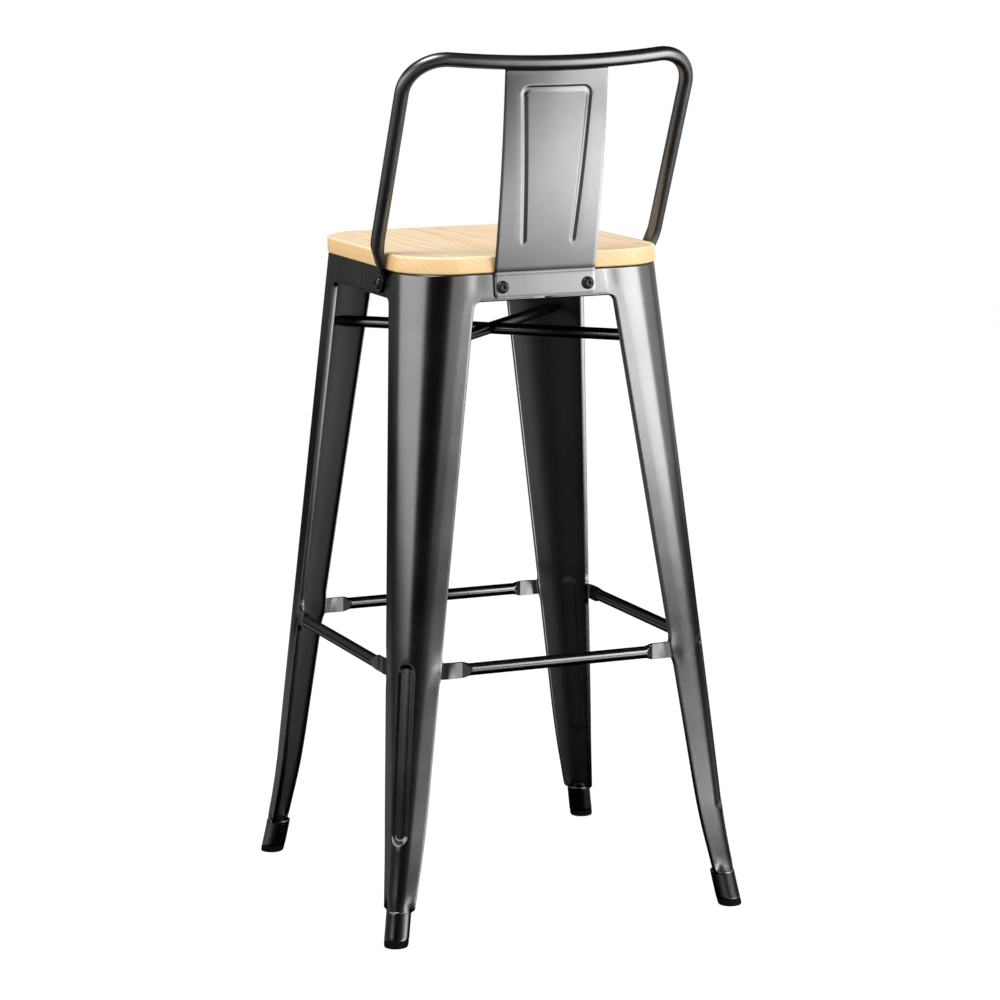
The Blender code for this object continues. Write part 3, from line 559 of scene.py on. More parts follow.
def add_collar(bm, sx, sy):
    """The rolled collar at the leg's end: a short tube with a rolled lower rim and a seam inside."""
    outline = []
    middle = COLLAR_RADIUS - 0.0009
    for turn in spread(0.0, 180.0, 9):
        angle = math.radians(turn)
        z = COLLAR_BOTTOM + 0.0009 - 0.0009 * math.sin(angle)
        outline.append((middle + 0.0009 * math.cos(angle), z))
    profile = [(COLLAR_RADIUS - 0.0009, COLLAR_TOP + 0.0012), (COLLAR_RADIUS - 0.0004, COLLAR_TOP + 0.0009)]
    profile += [(COLLAR_RADIUS - 0.0001, COLLAR_TOP + 0.0003)]
    profile += [(COLLAR_RADIUS, z) for z in (COLLAR_TOP - 0.0006, 0.036, 0.030, 0.024, 0.018, 0.012)]
    profile += outline
    profile += [(0.0119, 0.012), (0.0119, 0.020), (0.0119, 0.030), (0.0119, COLLAR_TOP)]
    count = 56
    rows = []
    for radius, z in profile:
        centre = collar_centre(z)
        row = []
        for i, angle in enumerate(turns(count)):
            seam = 0.0004 if i == int(count * 0.625) and radius > 0.0125 else 0.0
            x = centre.x + (radius - seam) * math.cos(angle)
            y = centre.y + (radius - seam) * math.sin(angle)
            row.append(bm.verts.new((sx * x, sy * y, z)))
        rows.append(row)
    rows.append(rows[0])
    faces = []
    for low, high in zip(rows, rows[1:]):
        for i in range(count):
            j = (i + 1) % count
            corners = (low[i], low[j], high[j], high[i])
            faces.append(bm.faces.new(corners if sx * sy < 0.0 else tuple(reversed(corners))))
            # The collar's inside near its top also takes slot 1, the painted shade.
            if low[i].co.z > COLLAR_TOP - 0.002 and rows.index(low) > 10:
                faces[-1].material_index = 1
    return faces


# ---------------------------------------------------------------- hoop and splat shape
def lean_vectors():
    angle = math.atan(HOOP_LEAN)
    up = Vector((0.0, math.sin(angle), math.cos(angle)))
    back = Vector((0.0, math.cos(angle), -math.sin(angle)))
    return up, back


def hoop_bow(x):
    return HOOP_BOW * max(0.0, 1.0 - (x / HOOP_HALF) ** 2)


def hoop_point(x, rise, bow):
    up, back = lean_vectors()
    return Vector((x, HOOP_Y_AT_080, 0.80)) + up * rise + back * bow


def hoop_path(shape):
    """Centre points with their flatness for one half, from the flat end to the top rail's middle."""
    up, back = lean_vectors()
    points = []
    for z in spread(0.7150, 0.7760, 31):
        flat = smooth_step((0.7760 - z) / 0.0380)
        inward = smooth_step((0.7455 - z) / 0.0110)
        tube_inside = HOOP_HALF - shape.hoop_radius
        inside = tube_inside + (half_x(z) + GAP - tube_inside) * inward
        x = inside + shape.hoop_radius + (0.0016 - shape.hoop_radius) * flat
        points.append((hoop_point(x, (z - 0.80) / up.z, 0.0), flat))
    for z in (0.79, 0.81, 0.83, 0.86, 0.89, 0.915):
        points.append((hoop_point(HOOP_HALF, (z - 0.80) / up.z, 0.0), 0.0))
    turn = HOOP_RISE - HOOP_CORNER
    for k in range(25):
        angle = math.radians(90.0 * k / 24.0)
        x = HOOP_HALF - HOOP_CORNER + HOOP_CORNER * math.cos(angle)
        points.append((hoop_point(x, turn + HOOP_CORNER * math.sin(angle), hoop_bow(x)), 0.0))
    for x in spread(0.114, 0.006, 19):
        points.append((hoop_point(x, HOOP_RISE, hoop_bow(x)), 0.0))
    return points


def splat_y(z):
    t = z - 0.80
    return 0.1811 + 0.2201 * t - 0.3495 * t * t


def splat_rows(shape):
    """Rows of the splat from the flange's lower edge to the top rail, as (y, z) of its rear face."""
    rows = []
    for z in spread(SPLAT_LOW, SPLAT_BEND - 0.0035, 8):
        rows.append((half_y(z) + GAP + shape.splat_sheet, z))
    top = hoop_point(0.0, HOOP_RISE, HOOP_BOW)
    up, back = lean_vectors()
    end = top - up * (shape.hoop_radius - 0.0010) + back * (shape.splat_sheet / 2.0)
    heights = spread(SPLAT_BEND + 0.0032, 0.7720, 8) + spread(0.7732, 0.7830, 14) + spread(0.788, 0.930, 24)
    heights += spread(0.9345, 0.9500, 26) + spread(0.953, end.z, 6)
    base = splat_y(SPLAT_BEND + 0.0022)
    wanted = SEAT_HALF_Y + 2.0 * GAP + shape.splat_sheet
    upper = []
    for z in heights:
        t = (z - SPLAT_BEND) / (end.z - SPLAT_BEND)
        upper.append((splat_y(z) + (wanted - base) * (1.0 - t), z))
    foot = rows[-1]
    knee = upper[0]
    corner_y = foot[0] - LEG_SLOPE * DEPTH_RATIO * (SPLAT_BEND - foot[1])
    for k in range(1, 7):
        t = k / 7.0
        y = mix(mix(foot[0], corner_y, t), mix(corner_y, knee[0], t), t)
        z = mix(mix(foot[1], SPLAT_BEND, t), mix(SPLAT_BEND, knee[1], t), t)
        rows.append((y, z))
    rows += upper
    rows[-1] = (end.y, end.z)
    return rows


def groove_x(z):
    """Distance of the groove's legs from the splat's middle."""
    t = (min(max(z, GROOVE_END), GROOVE_TOP) - GROOVE_END) / (GROOVE_TOP - GROOVE_END)
    return mix(GROOVE_X_END, GROOVE_X_TOP, t)


def groove_distance(x, z):
    """Distance from a point of the splat to the groove's centre line, an upside-down U."""
    ax = abs(x)
    corner_z = GROOVE_TOP - GROOVE_CORNER
    corner_x = GROOVE_X_TOP - GROOVE_CORNER
    if z > corner_z and ax > corner_x:
        return abs(math.hypot(ax - corner_x, z - corner_z) - GROOVE_CORNER)
    top_run = abs(z - GROOVE_TOP) if ax <= corner_x else 1.0
    gx = groove_x(z)
    leg = math.hypot(ax - gx, z - GROOVE_END) if z < GROOVE_END else abs(ax - gx)
    return min(top_run, leg)


# ---------------------------------------------------------------- shared finishes
def open_group(name, values, results):
    """A new shader group with a Vector input, the given float inputs and float outputs."""
    tree = bpy.data.node_groups.new(name, "ShaderNodeTree")
    tree.interface.new_socket("Vector", in_out="INPUT", socket_type="NodeSocketVector")
    for label, default in values:
        socket = tree.interface.new_socket(label, in_out="INPUT", socket_type="NodeSocketFloat")
        socket.default_value = default
    for label in results:
        tree.interface.new_socket(label, in_out="OUTPUT", socket_type="NodeSocketFloat")
    source = add_node(tree, "NodeGroupInput")
    sink = add_node(tree, "NodeGroupOutput")
    return tree, source.outputs, sink.inputs


def add_node(tree, kind, **values):
    node = tree.nodes.new(kind)
    for key, value in values.items():
        setattr(node, key, value)
    return node


def math_node(tree, operation, a, b=None, clamp=False):
    node = add_node(tree, "ShaderNodeMath", operation=operation, use_clamp=clamp)
    for k, value in enumerate((a, b)):
        if value is None:
            continue
        if isinstance(value, (int, float)):
            node.inputs[k].default_value = value
        else:
            tree.links.new(value, node.inputs[k])
    return node.outputs[0]


def times(tree, a, b, clamp=False):
    return math_node(tree, "MULTIPLY", a, b, clamp)


def colour_mix(tree, fac, a, b):
    node = add_node(tree, "ShaderNodeMix", data_type="RGBA")
    for key, value in ((0, fac), (6, a), (7, b)):
        if isinstance(value, (int, float, tuple)):
            node.inputs[key].default_value = value
        else:
            tree.links.new(value, node.inputs[key])
    return node.outputs[2]


def noise(tree, vector, scale, detail, rough=0.5):
    node = add_node(tree, "ShaderNodeTexNoise")
    node.inputs["Detail"].default_value = detail
    node.inputs["Roughness"].default_value = rough
    if isinstance(scale, (int, float)):
        node.inputs["Scale"].default_value = scale
    else:
        tree.links.new(scale, node.inputs["Scale"])
    tree.links.new(vector, node.inputs["Vector"])
    return node.outputs["Fac"]


def remap(tree, value, low, high, to_low, to_high):
    node = add_node(tree, "ShaderNodeMapRange", clamp=True)
    tree.links.new(value, node.inputs["Value"])
    for key, number in zip(("From Min", "From Max", "To Min", "To Max"), (low, high, to_low, to_high)):
        node.inputs[key].default_value = number
    return node.outputs[0]


def coating_group():
    """Sprayed surface: fine flow ripple, flake speckle and broad clouding."""
    scales = (("Ripple Scale", 700.0), ("Speckle Scale", 3200.0), ("Cloud Scale", 14.0))
    tree, source, sink = open_group("sprayed_coating", scales, ("Height", "Speckle", "Cloud"))
    ripple = noise(tree, source["Vector"], source["Ripple Scale"], 2.0)
    speckle = noise(tree, source["Vector"], source["Speckle Scale"], 1.0)
    cloud = noise(tree, source["Vector"], source["Cloud Scale"], 4.0, 0.6)
    height = math_node(tree, "ADD", times(tree, ripple, 0.75), times(tree, speckle, 0.25))
    tree.links.new(height, sink["Height"])
    tree.links.new(remap(tree, speckle, 0.52, 0.74, 0.0, 1.0), sink["Speckle"])
    tree.links.new(remap(tree, cloud, 0.30, 0.70, 0.0, 1.0), sink["Cloud"])
    return tree


def wear_group():
    """Rubbed edges: a patchy mask from each piece's edge values."""
    tree, source, sink = open_group("rubbed_edges", (("Amount", 0.6), ("Patch Scale", 60.0)), ("Mask",))
    edge = add_node(tree, "ShaderNodeAttribute", attribute_name="edge_wear")
    patch = noise(tree, source["Vector"], source["Patch Scale"], 3.0, 0.65)
    mask = times(tree, edge.outputs["Fac"], remap(tree, patch, 0.35, 0.65, 0.35, 1.0))
    tree.links.new(times(tree, mask, source["Amount"], clamp=True), sink["Mask"])
    return tree


def board_group():
    """Sawn softwood: growth rings round a pith line, with fibres and streaks along the board."""
    sizes = (("Pith X", 0.0), ("Pith Z", 0.68), ("Ring Pitch", 0.0045), ("Wander", 0.004))
    results = ("Ring", "Fibre", "Streak", "Cloud", "Height")
    tree, source, sink = open_group("sawn_board", sizes, results)
    slow_grain = stretch(tree, source["Vector"], 0.10)
    fine_grain = stretch(tree, source["Vector"], 0.035)
    slow = noise(tree, slow_grain, 22.0, 3.0, 0.55)
    wander = times(tree, math_node(tree, "SUBTRACT", slow, 0.5), source["Wander"])
    wander = times(tree, wander, 8.0)
    split = add_node(tree, "ShaderNodeSeparateXYZ")
    tree.links.new(source["Vector"], split.inputs[0])
    dx = math_node(tree, "SUBTRACT", split.outputs["X"], source["Pith X"])
    dz = math_node(tree, "SUBTRACT", split.outputs["Z"], source["Pith Z"])
    square = math_node(tree, "ADD", times(tree, dx, dx), times(tree, dz, dz))
    radius = math_node(tree, "ADD", math_node(tree, "SQRT", square), wander)
    saw = math_node(tree, "FRACT", math_node(tree, "DIVIDE", radius, source["Ring Pitch"]))
    rise = math_node(tree, "POWER", remap(tree, saw, 0.15, 0.86, 0.0, 1.0), 2.2)
    ring = times(tree, rise, remap(tree, saw, 0.88, 1.0, 1.0, 0.0))
    fibre = noise(tree, fine_grain, 900.0, 3.0, 0.6)
    streak = noise(tree, fine_grain, 260.0, 2.0, 0.55)
    cloud = noise(tree, slow_grain, 30.0, 3.0, 0.5)
    bundles = remap(tree, streak, 0.35, 0.65, 0.35, 1.0)
    tree.links.new(ring, sink["Ring"])
    tree.links.new(times(tree, remap(tree, fibre, 0.38, 0.70, 0.0, 1.0), bundles), sink["Fibre"])
    tree.links.new(remap(tree, streak, 0.46, 0.66, 0.0, 1.0), sink["Streak"])
    tree.links.new(remap(tree, cloud, 0.30, 0.70, 0.0, 1.0), sink["Cloud"])
    height = math_node(tree, "ADD", times(tree, ring, 0.6), times(tree, fibre, 0.4))
    tree.links.new(height, sink["Height"])
    return tree


def stretch(tree, vector, along):
    """The same coordinates drawn out along the board."""
    node = add_node(tree, "ShaderNodeMapping")
    node.inputs["Scale"].default_value = (1.0, along, 1.0)
    tree.links.new(vector, node.inputs["Vector"])
    return node.outputs[0]


def shared_group(name, build):
    return bpy.data.node_groups.get(name) or build()


def new_material(name):
    """An empty material with its Principled BSDF, object coordinates and node tree."""
    material = bpy.data.materials.new(name)
    material.use_nodes = True
    tree = material.node_tree
    shader = tree.nodes["Principled BSDF"]
    place = add_node(tree, "ShaderNodeTexCoord")
    return material, tree, shader, place.outputs["Object"]


def place_group(tree, group, vector, **values):
    node = add_node(tree, "ShaderNodeGroup", node_tree=group)
    tree.links.new(vector, node.inputs["Vector"])
    for key, value in values.items():
        node.inputs[key.replace("_", " ")].default_value = value
    return node


def bump(tree, height, strength, distance, shader):
    node = add_node(tree, "ShaderNodeBump")
    node.inputs["Strength"].default_value = strength
    node.inputs["Distance"].default_value = distance
    tree.links.new(height, node.inputs["Height"])
    tree.links.new(node.outputs[0], shader.inputs["Normal"])


def toned(colour, factor):
    """The colour made lighter or darker, with its alpha."""
    return tuple(min(1.0, c * factor) for c in colour) + (1.0,)


def coated_metal(name, colour, worn, metallic, roughness, ripple):
    """Sprayed metal: lacquer clouding, metallic speckle, rubbed edges and a faint ripple."""
    found = bpy.data.materials.get(name)
    if found is not None:
        return found
    material, tree, shader, vector = new_material(name)
    coating = place_group(tree, shared_group("sprayed_coating", coating_group), vector).outputs
    wear = place_group(tree, shared_group("rubbed_edges", wear_group), vector).outputs["Mask"]
    base = colour_mix(tree, coating["Cloud"], toned(colour, 0.90), toned(colour, 1.10))
    base = colour_mix(tree, times(tree, coating["Speckle"], 0.35), base, toned(colour, 1.9))
    base = colour_mix(tree, wear, base, (*worn, 1.0))
    tree.links.new(base, shader.inputs["Base Color"])
    rough = remap(tree, coating["Cloud"], 0.0, 1.0, roughness * 0.92, roughness * 1.10)
    rough = math_node(tree, "ADD", rough, times(tree, coating["Speckle"], 0.04))
    rough = math_node(tree, "SUBTRACT", rough, times(tree, wear, 0.06), clamp=True)
    tree.links.new(rough, shader.inputs["Roughness"])
    shader.inputs["Metallic"].default_value = metallic
    shader.inputs["Specular Tint"].default_value = (0.55, 0.55, 0.55, 1.0)
    bump(tree, coating["Height"], ripple, 0.0002, shader)
    return material


def steel_material():
    metal = bpy.context.scene.barstool_metal
    return coated_metal("gunmetal_lacquer", tuple(metal.steel_colour), tuple(metal.worn_colour), 1.0,
                        metal.steel_roughness, 0.09)


def tube_material():
    """The hoop's lacquer: the same colour, laid on a little duller."""
    metal = bpy.context.scene.barstool_metal
    return coated_metal("satin_lacquer", tuple(metal.steel_colour), tuple(metal.worn_colour), 1.0,
                        metal.steel_roughness + 0.12, 0.10)


def shaded_inside_material():
    """Painted shade: a darker, duller copy of the lacquer on the inside of the pressed sheet, where shade
    falls.
    """
    colour = tuple(c * 0.36 for c in bpy.context.scene.barstool_metal.steel_colour)
    return coated_metal("inside_painted_shade", colour, colour, 0.90, 0.50, 0.35)


def bolt_material():
    colour = tuple(bpy.context.scene.barstool_metal.bolt_colour)
    return coated_metal("blackened_fastener", colour, (0.06, 0.06, 0.064), 0.60, 0.24, 0.20)


def rubber_material():
    """Moulded rubber with a dusty bloom."""
    found = bpy.data.materials.get("foot_rubber")
    if found is not None:
        return found
    colour = tuple(bpy.context.scene.barstool_metal.rubber_colour)
    found, tree, shader, vector = new_material("foot_rubber")
    coating = place_group(tree, shared_group("sprayed_coating", coating_group), vector,
                          Ripple_Scale=420.0, Speckle_Scale=1500.0, Cloud_Scale=60.0).outputs
    shader.inputs["Specular IOR Level"].default_value = 0.06
    dusty = tuple(min(1.0, c * 1.8 + 0.001) for c in colour) + (1.0,)
    base = colour_mix(tree, times(tree, coating["Cloud"], 0.6), (*colour, 1.0), dusty)
    tree.links.new(base, shader.inputs["Base Color"])
    tree.links.new(remap(tree, coating["Cloud"], 0.0, 1.0, 0.66, 0.84), shader.inputs["Roughness"])
    bump(tree, coating["Height"], 0.35, 0.0003, shader)
    return found


def board_material(index):
    """Each board has its own place in the log, so its rings and tone differ from its neighbours'."""
    name = "softwood_board_" + str(index + 1)
    found = bpy.data.materials.get(name)
    if found is not None:
        return found
    wood = bpy.context.scene.barstool_wood
    pith_x, pith_z, pitch, tone = LOG_PLACES[index]
    found, tree, shader, vector = new_material(name)
    board = place_group(tree, shared_group("sawn_board", board_group), vector,
                        Pith_X=pith_x, Pith_Z=pith_z, Ring_Pitch=pitch, Wander=0.0030).outputs
    pale = (*wood.pale_colour, 1.0)
    grain = (*wood.grain_colour, 1.0)
    light = tuple(min(1.0, c * g) for c, g in zip(wood.pale_colour, (1.06, 1.10, 1.28))) + (1.0,)
    warm = tuple(mix(p, g, 0.30) for p, g in zip(wood.pale_colour, wood.grain_colour)) + (1.0,)
    base = colour_mix(tree, tone * 0.55, pale, warm)
    for result, amount, colour in (("Cloud", 0.60, warm), ("Streak", 0.65, light),
                                   ("Ring", 0.50, grain), ("Fibre", 0.30, grain)):
        base = colour_mix(tree, times(tree, board[result], amount), base, colour)
    geometry = add_node(tree, "ShaderNodeNewGeometry")
    facing = add_node(tree, "ShaderNodeSeparateXYZ")
    tree.links.new(geometry.outputs["Normal"], facing.inputs[0])
    # Partly painted shade: the sides and underside are mixed toward the darker, warmer side tone by how far
    # they turn from straight up, along with their own warmer tone.
    side = remap(tree, facing.outputs["Z"], 0.20, 0.90, 0.78, 0.0)
    base = colour_mix(tree, side, base, (*wood.side_shade_colour, 1.0))
    base = colour_mix(tree, times(tree, times(tree, side, board["Ring"]), 0.30), base, grain)
    width = 2.0 * SEAT_HALF_X / BOARD_COUNT
    split = add_node(tree, "ShaderNodeSeparateXYZ")
    tree.links.new(vector, split.inputs[0])
    off = math_node(tree, "SUBTRACT", split.outputs["X"], width * (index - 2.5))
    off = math_node(tree, "ABSOLUTE", off)
    joint = remap(tree, off, width / 2.0 - 0.0009, width / 2.0 - 0.0002, 0.0, 0.45)
    tree.links.new(colour_mix(tree, joint, base, grain), shader.inputs["Base Color"])
    tree.links.new(remap(tree, board["Fibre"], 0.0, 1.0, 0.42, 0.58), shader.inputs["Roughness"])
    shader.inputs["Coat Weight"].default_value = 0.15
    shader.inputs["Coat Roughness"].default_value = 0.35
    bump(tree, board["Height"], 0.25, 0.0002, shader)
    return found


def mark_edges(piece, rule):
    """Store how exposed to rubbing each point is, for the rubbed edge finish."""
    mesh = piece.data
    layer = mesh.attributes.new("edge_wear", "FLOAT", "POINT")
    layer.data.foreach_set("value", [rule(v.co) for v in mesh.vertices])
    return piece


# ---------------------------------------------------------------- pieces
class BARSTOOL_OT_legs(Operator):
    """Pressed legs with half aprons, folded lips, ribs and rolled collars."""

    bl_idname = "barstool.legs"
    bl_label = "Build Legs"

    def execute(self, context):
        shape = context.scene.barstool_shape
        for place, sx, sy in LEG_CORNERS:
            bm = leg_sheet(sx, sy, shape)
            add_collar(bm, sx, sy)
            # The legs' second slot is the painted shade on their inside faces.
            leg = finish_piece("sheet_leg_" + place, bm, steel_material(), "leg_" + place,
                               recalc=False, inner=shaded_inside_material())
            mark_edges(leg, self.wear)
        return {"FINISHED"}

    @staticmethod
    def wear(point):
        z = point.z
        inner_x = half_x(z) - abs(point.x)
        inner_y = half_y(z) - abs(point.y)
        edge = max(abs(inner_x - wing(z)), 0.0) if inner_y < 0.003 else 1.0
        edge = min(edge, abs(inner_y - wing(z)) if inner_x < 0.003 else 1.0)
        low = smooth_step((0.0105 - z) / 0.002)
        return max(low, smooth_step((0.0022 - edge) / 0.0018))


class BARSTOOL_OT_feet(Operator):
    """Rubber feet: a rounded tread with a slight bulge and a plug up inside the leg."""

    bl_idname = "barstool.feet"
    bl_label = "Build Feet"

    def execute(self, context):
        rim = [(0.0122 + 0.0014 * math.sin(math.radians(a)), 0.0014 - 0.0014 * math.cos(math.radians(a)))
               for a in (30, 60, 90)]
        profile = [(0.0095, 0.0014), (0.0105, 0.0002), (0.0122, 0.0)] + rim
        profile += [(0.01385, 0.0032), (0.0139, 0.0055), (0.01385, 0.0068), (0.0136, 0.0075)]
        profile += [(0.0131, FOOT_TOP), (0.0115, FOOT_TOP), (0.0113, 0.0085), (0.0113, 0.0300)]
        profile.append((0.0100, 0.0306))
        for place, sx, sy in LEG_CORNERS:
            rings = []
            for radius, z in profile:
                centre = collar_centre(z)
                ring = circle(radius, z, 48)
                rings.append([(sx * (centre.x + x), sy * (centre.y + y), z) for x, y, z in ring])
            finish_piece("rubber_foot_" + place, loft(rings), rubber_material(), "foot_" + place)
        return {"FINISHED"}


class BARSTOOL_OT_footrests(Operator):
    """Footrest rails: round tubes whose flattened ends are welded to the leg wings."""

    bl_idname = "barstool.footrests"
    bl_label = "Build Footrests"

    def execute(self, context):
        shape = context.scene.barstool_shape
        out_y = half_y(RAIL_HEIGHT)
        out_x = half_x(RAIL_HEIGHT)
        places = (
            ("rear", out_y, half_x, lambda p: (p[0], p[1], p[2])),
            ("front", out_y, half_x, lambda p: (p[0], -p[1], p[2])),
            ("left", out_x, half_y, lambda p: (p[1], p[0], p[2])),
            ("right", out_x, half_y, lambda p: (-p[1], p[0], p[2])),
        )
        for side, outside, across, place in places:
            rings = list(reversed(self.half_rail(shape, outside, across, -1.0)))
            rings += self.half_rail(shape, outside, across, 1.0)
            placed = [[place(p) for p in ring] for ring in rings]
            rail = finish_piece("footrest_tube_" + side, loft(placed), steel_material(), "footrest_" + side,
                                sharp=22.0)
            mark_edges(rail, self.wear)
        return {"FINISHED"}

    @staticmethod
    def wear(point):
        top = smooth_step((point.z - RAIL_HEIGHT - 0.0040) / 0.0025)
        middle = 1.0 - smooth_step((min(abs(point.x), abs(point.y)) - 0.03) / 0.09)
        return top * middle * 0.8

    @staticmethod
    def half_rail(shape, outside, across, sign):
        """Rings from the middle to one end: tube, slanted press marks, flat tab and its turned end."""
        thin = 0.0016
        tall = 0.0092
        tab = outside - GAP - thin
        tube = outside - 0.0008
        shoulder = across(RAIL_HEIGHT) - wing(RAIL_HEIGHT) - 0.0235
        start = shoulder - 0.0095
        stations = [(0.02, 0.0), (0.06, 0.0), (start - 0.010, 0.0), (start - 0.0004, 0.0), (start, 0.0)]
        stations += [(mix(start, shoulder, t), t) for t in spread(0.06, 0.94, 12)]
        stations += [(shoulder + past, 1.0) for past in (0.0, 0.0005, 0.006, 0.012)]
        angles = turns(48, 0.5)
        rings = []
        for along, t in stations:
            plane = mix(shape.rail_radius, thin, t)
            half_up = mix(shape.rail_radius, tall, smooth_step(t))
            middle = mix(tube, tab, t)
            ring = []
            for angle in angles:
                a = max(-plane, min(plane, shape.rail_radius * math.cos(angle)))
                ring.append((sign * along, middle + a, RAIL_HEIGHT + half_up * math.sin(angle)))
            rings.append(ring)
        for reach in (0.0072, 0.0068, 0.0050, 0.0034, 0.0018, 0.0006, 0.0):
            press = 0.0012 * max(0.0, min(1.0, (0.0070 - reach) / 0.0060))
            ring = []
            for angle in angles:
                a = max(-thin, min(thin, shape.rail_radius * math.cos(angle)))
                rise = tall * math.sin(angle)
                z = RAIL_HEIGHT + rise
                end = across(z) - wing(z) - GAP - reach
                ring.append((sign * end, tab + a - 0.08 * rise - press, z))
            rings.append(ring)
        return rings


class BARSTOOL_OT_braces(Operator):
    """Cross brace under the seat: one long tube and two halves that meet it."""

    bl_idname = "barstool.braces"
    bl_label = "Build Cross Brace"

    def execute(self, context):
        z = BRACE_HEIGHT
        radius = corner_radius(z) - 0.0014
        centre = Vector((half_x(z) - corner_radius(z), half_y(z) - corner_radius(z)))
        reach = (centre.x + centre.y * DEPTH_RATIO) / math.hypot(1.0, DEPTH_RATIO) + radius - 0.0012
        meet = BRACE_RADIUS * 1.01 + GAP
        self.bar("brace_tube_long", -1, 1, -reach, reach, True, "brace_long")
        self.bar("brace_tube_rear", 1, 1, meet, reach, False, "brace_half_rear")
        self.bar("brace_tube_front", -1, -1, meet, reach, False, "brace_half_front")
        return {"FINISHED"}

    @staticmethod
    def bar(name, sx, sy, begin, end, both, node):
        way = Vector((sx, sy * DEPTH_RATIO, 0.0)).normalized()
        side = Vector((-way.y, way.x, 0.0))
        up = Vector((0.0, 0.0, 1.0))
        stations = [(end - 0.026 + 0.024 * k / 12.0, smooth_step(k / 12.0)) for k in range(13)]
        stations.append((end, 1.0))
        if both:
            first = [(begin + end - along, t) for along, t in reversed(stations)]
        else:
            first = [(begin, 0.0), (begin + 0.01, 0.0)]
        rings = []
        for along, t in first + stations:
            middle = way * along + up * BRACE_HEIGHT
            pairs = flat_ring(BRACE_RADIUS * (1.0 + 0.20 * t), BRACE_RADIUS * (1.0 - 0.45 * t), 0.3 * t, 32)
            rings.append([middle + side * a + up * b for a, b in pairs])
        finish_piece(name, loft(rings), steel_material(), node)


class BARSTOOL_OT_hoop(Operator):
    """Hoop back: a bent tube whose flattened ends are bolted to the side aprons."""

    bl_idname = "barstool.hoop"
    bl_label = "Build Hoop Back"

    def execute(self, context):
        shape = context.scene.barstool_shape
        half = hoop_path(shape)
        middle = [(hoop_point(0.0, HOOP_RISE, hoop_bow(0.0)), 0.0)]
        path = half + middle + [(Vector((-p.x, p.y, p.z)), t) for p, t in reversed(half)]
        up, back = lean_vectors()
        rings = []
        last = len(path) - 1
        for i, (point, t) in enumerate(path):
            way = (path[min(last, i + 1)][0] - path[max(0, i - 1)][0]).normalized()
            across = back
            if t > 0.0:
                lean = Vector((math.copysign(1.0, point.x), 0.0, LEG_SLOPE)).normalized()
                face = up.cross(lean).normalized()
                if face.dot(back) < 0.0:
                    face.negate()
                across = back.lerp(face, t)
            across = (across - way * across.dot(way)).normalized()
            thin = way.cross(across).normalized()
            half_wide = mix(shape.hoop_radius, 0.0110, t)
            half_thin = mix(shape.hoop_radius, 0.0016, t)
            tip = min(i, last - i) * 0.0023
            if tip < 0.0110:
                half_wide *= math.sqrt(max(0.0, 1.0 - ((0.0110 - tip) / 0.0110) ** 2)) * 0.62 + 0.38
            pairs = flat_ring(half_thin, half_wide, 0.85 * t, 40)
            rings.append([point + across * b + thin * a for a, b in pairs])
        hoop = finish_piece("hoop_tube", loft(rings), tube_material(), "back_hoop")
        mark_edges(hoop, lambda p: 0.25 * smooth_step((p.z - 0.955) / 0.03))
        return {"FINISHED"}


class BARSTOOL_OT_splat(Operator):
    """Back splat: a bent sheet with a pressed groove and a bolted flange."""

    bl_idname = "barstool.splat"
    bl_label = "Build Splat"

    def execute(self, context):
        shape = context.scene.barstool_shape
        rows = splat_rows(shape)
        bm = bmesh.new()
        grid = []
        for k, (y, z) in enumerate(rows):
            before = rows[max(0, k - 1)]
            after = rows[min(len(rows) - 1, k + 1)]
            way = Vector((0.0, after[0] - before[0], after[1] - before[1])).normalized()
            out = Vector((0.0, way.z, -way.y))
            gx = groove_x(z)
            right = [gx + o for o in spread(-0.0078, 0.0046, 24)]
            right += [mix(gx + 0.0046, SPLAT_HALF, s) for s in (0.3, 0.6, 0.85, 1.0)]
            line = [-x for x in reversed(right)] + [-0.018, -0.006, 0.006, 0.018] + right
            clip = max(0.0, SPLAT_LOW + 0.0024 - z)
            side = SPLAT_HALF - 0.0024 + math.sqrt(max(0.0, 0.0024 ** 2 - clip ** 2))
            row = []
            for x in line:
                x = max(-side, min(side, x))
                depth = shape.groove_depth * smooth_step(1.0 - groove_distance(x, z) / GROOVE_HALF)
                depth += HOOP_BOW * (x / HOOP_HALF) ** 2 * smooth_step((z - SPLAT_BEND) / SPLAT_CURVE_RISE)
                row.append(bm.verts.new(Vector((x, y, z)) - out * depth))
            grid.append(row)
        skin_rows(bm, grid)
        bmesh.ops.remove_doubles(bm, verts=bm.verts, dist=1e-6)
        outward(bm, lambda f: f.calc_area() * f.normal.y)
        solid = thicken(bm, shape.splat_sheet)
        splat = finish_piece("pressed_splat", solid, steel_material(), "back_splat",
                             recalc=False)
        mark_edges(splat, lambda p: smooth_step((abs(p.x) - SPLAT_HALF + 0.0012) / 0.0010))
        return {"FINISHED"}


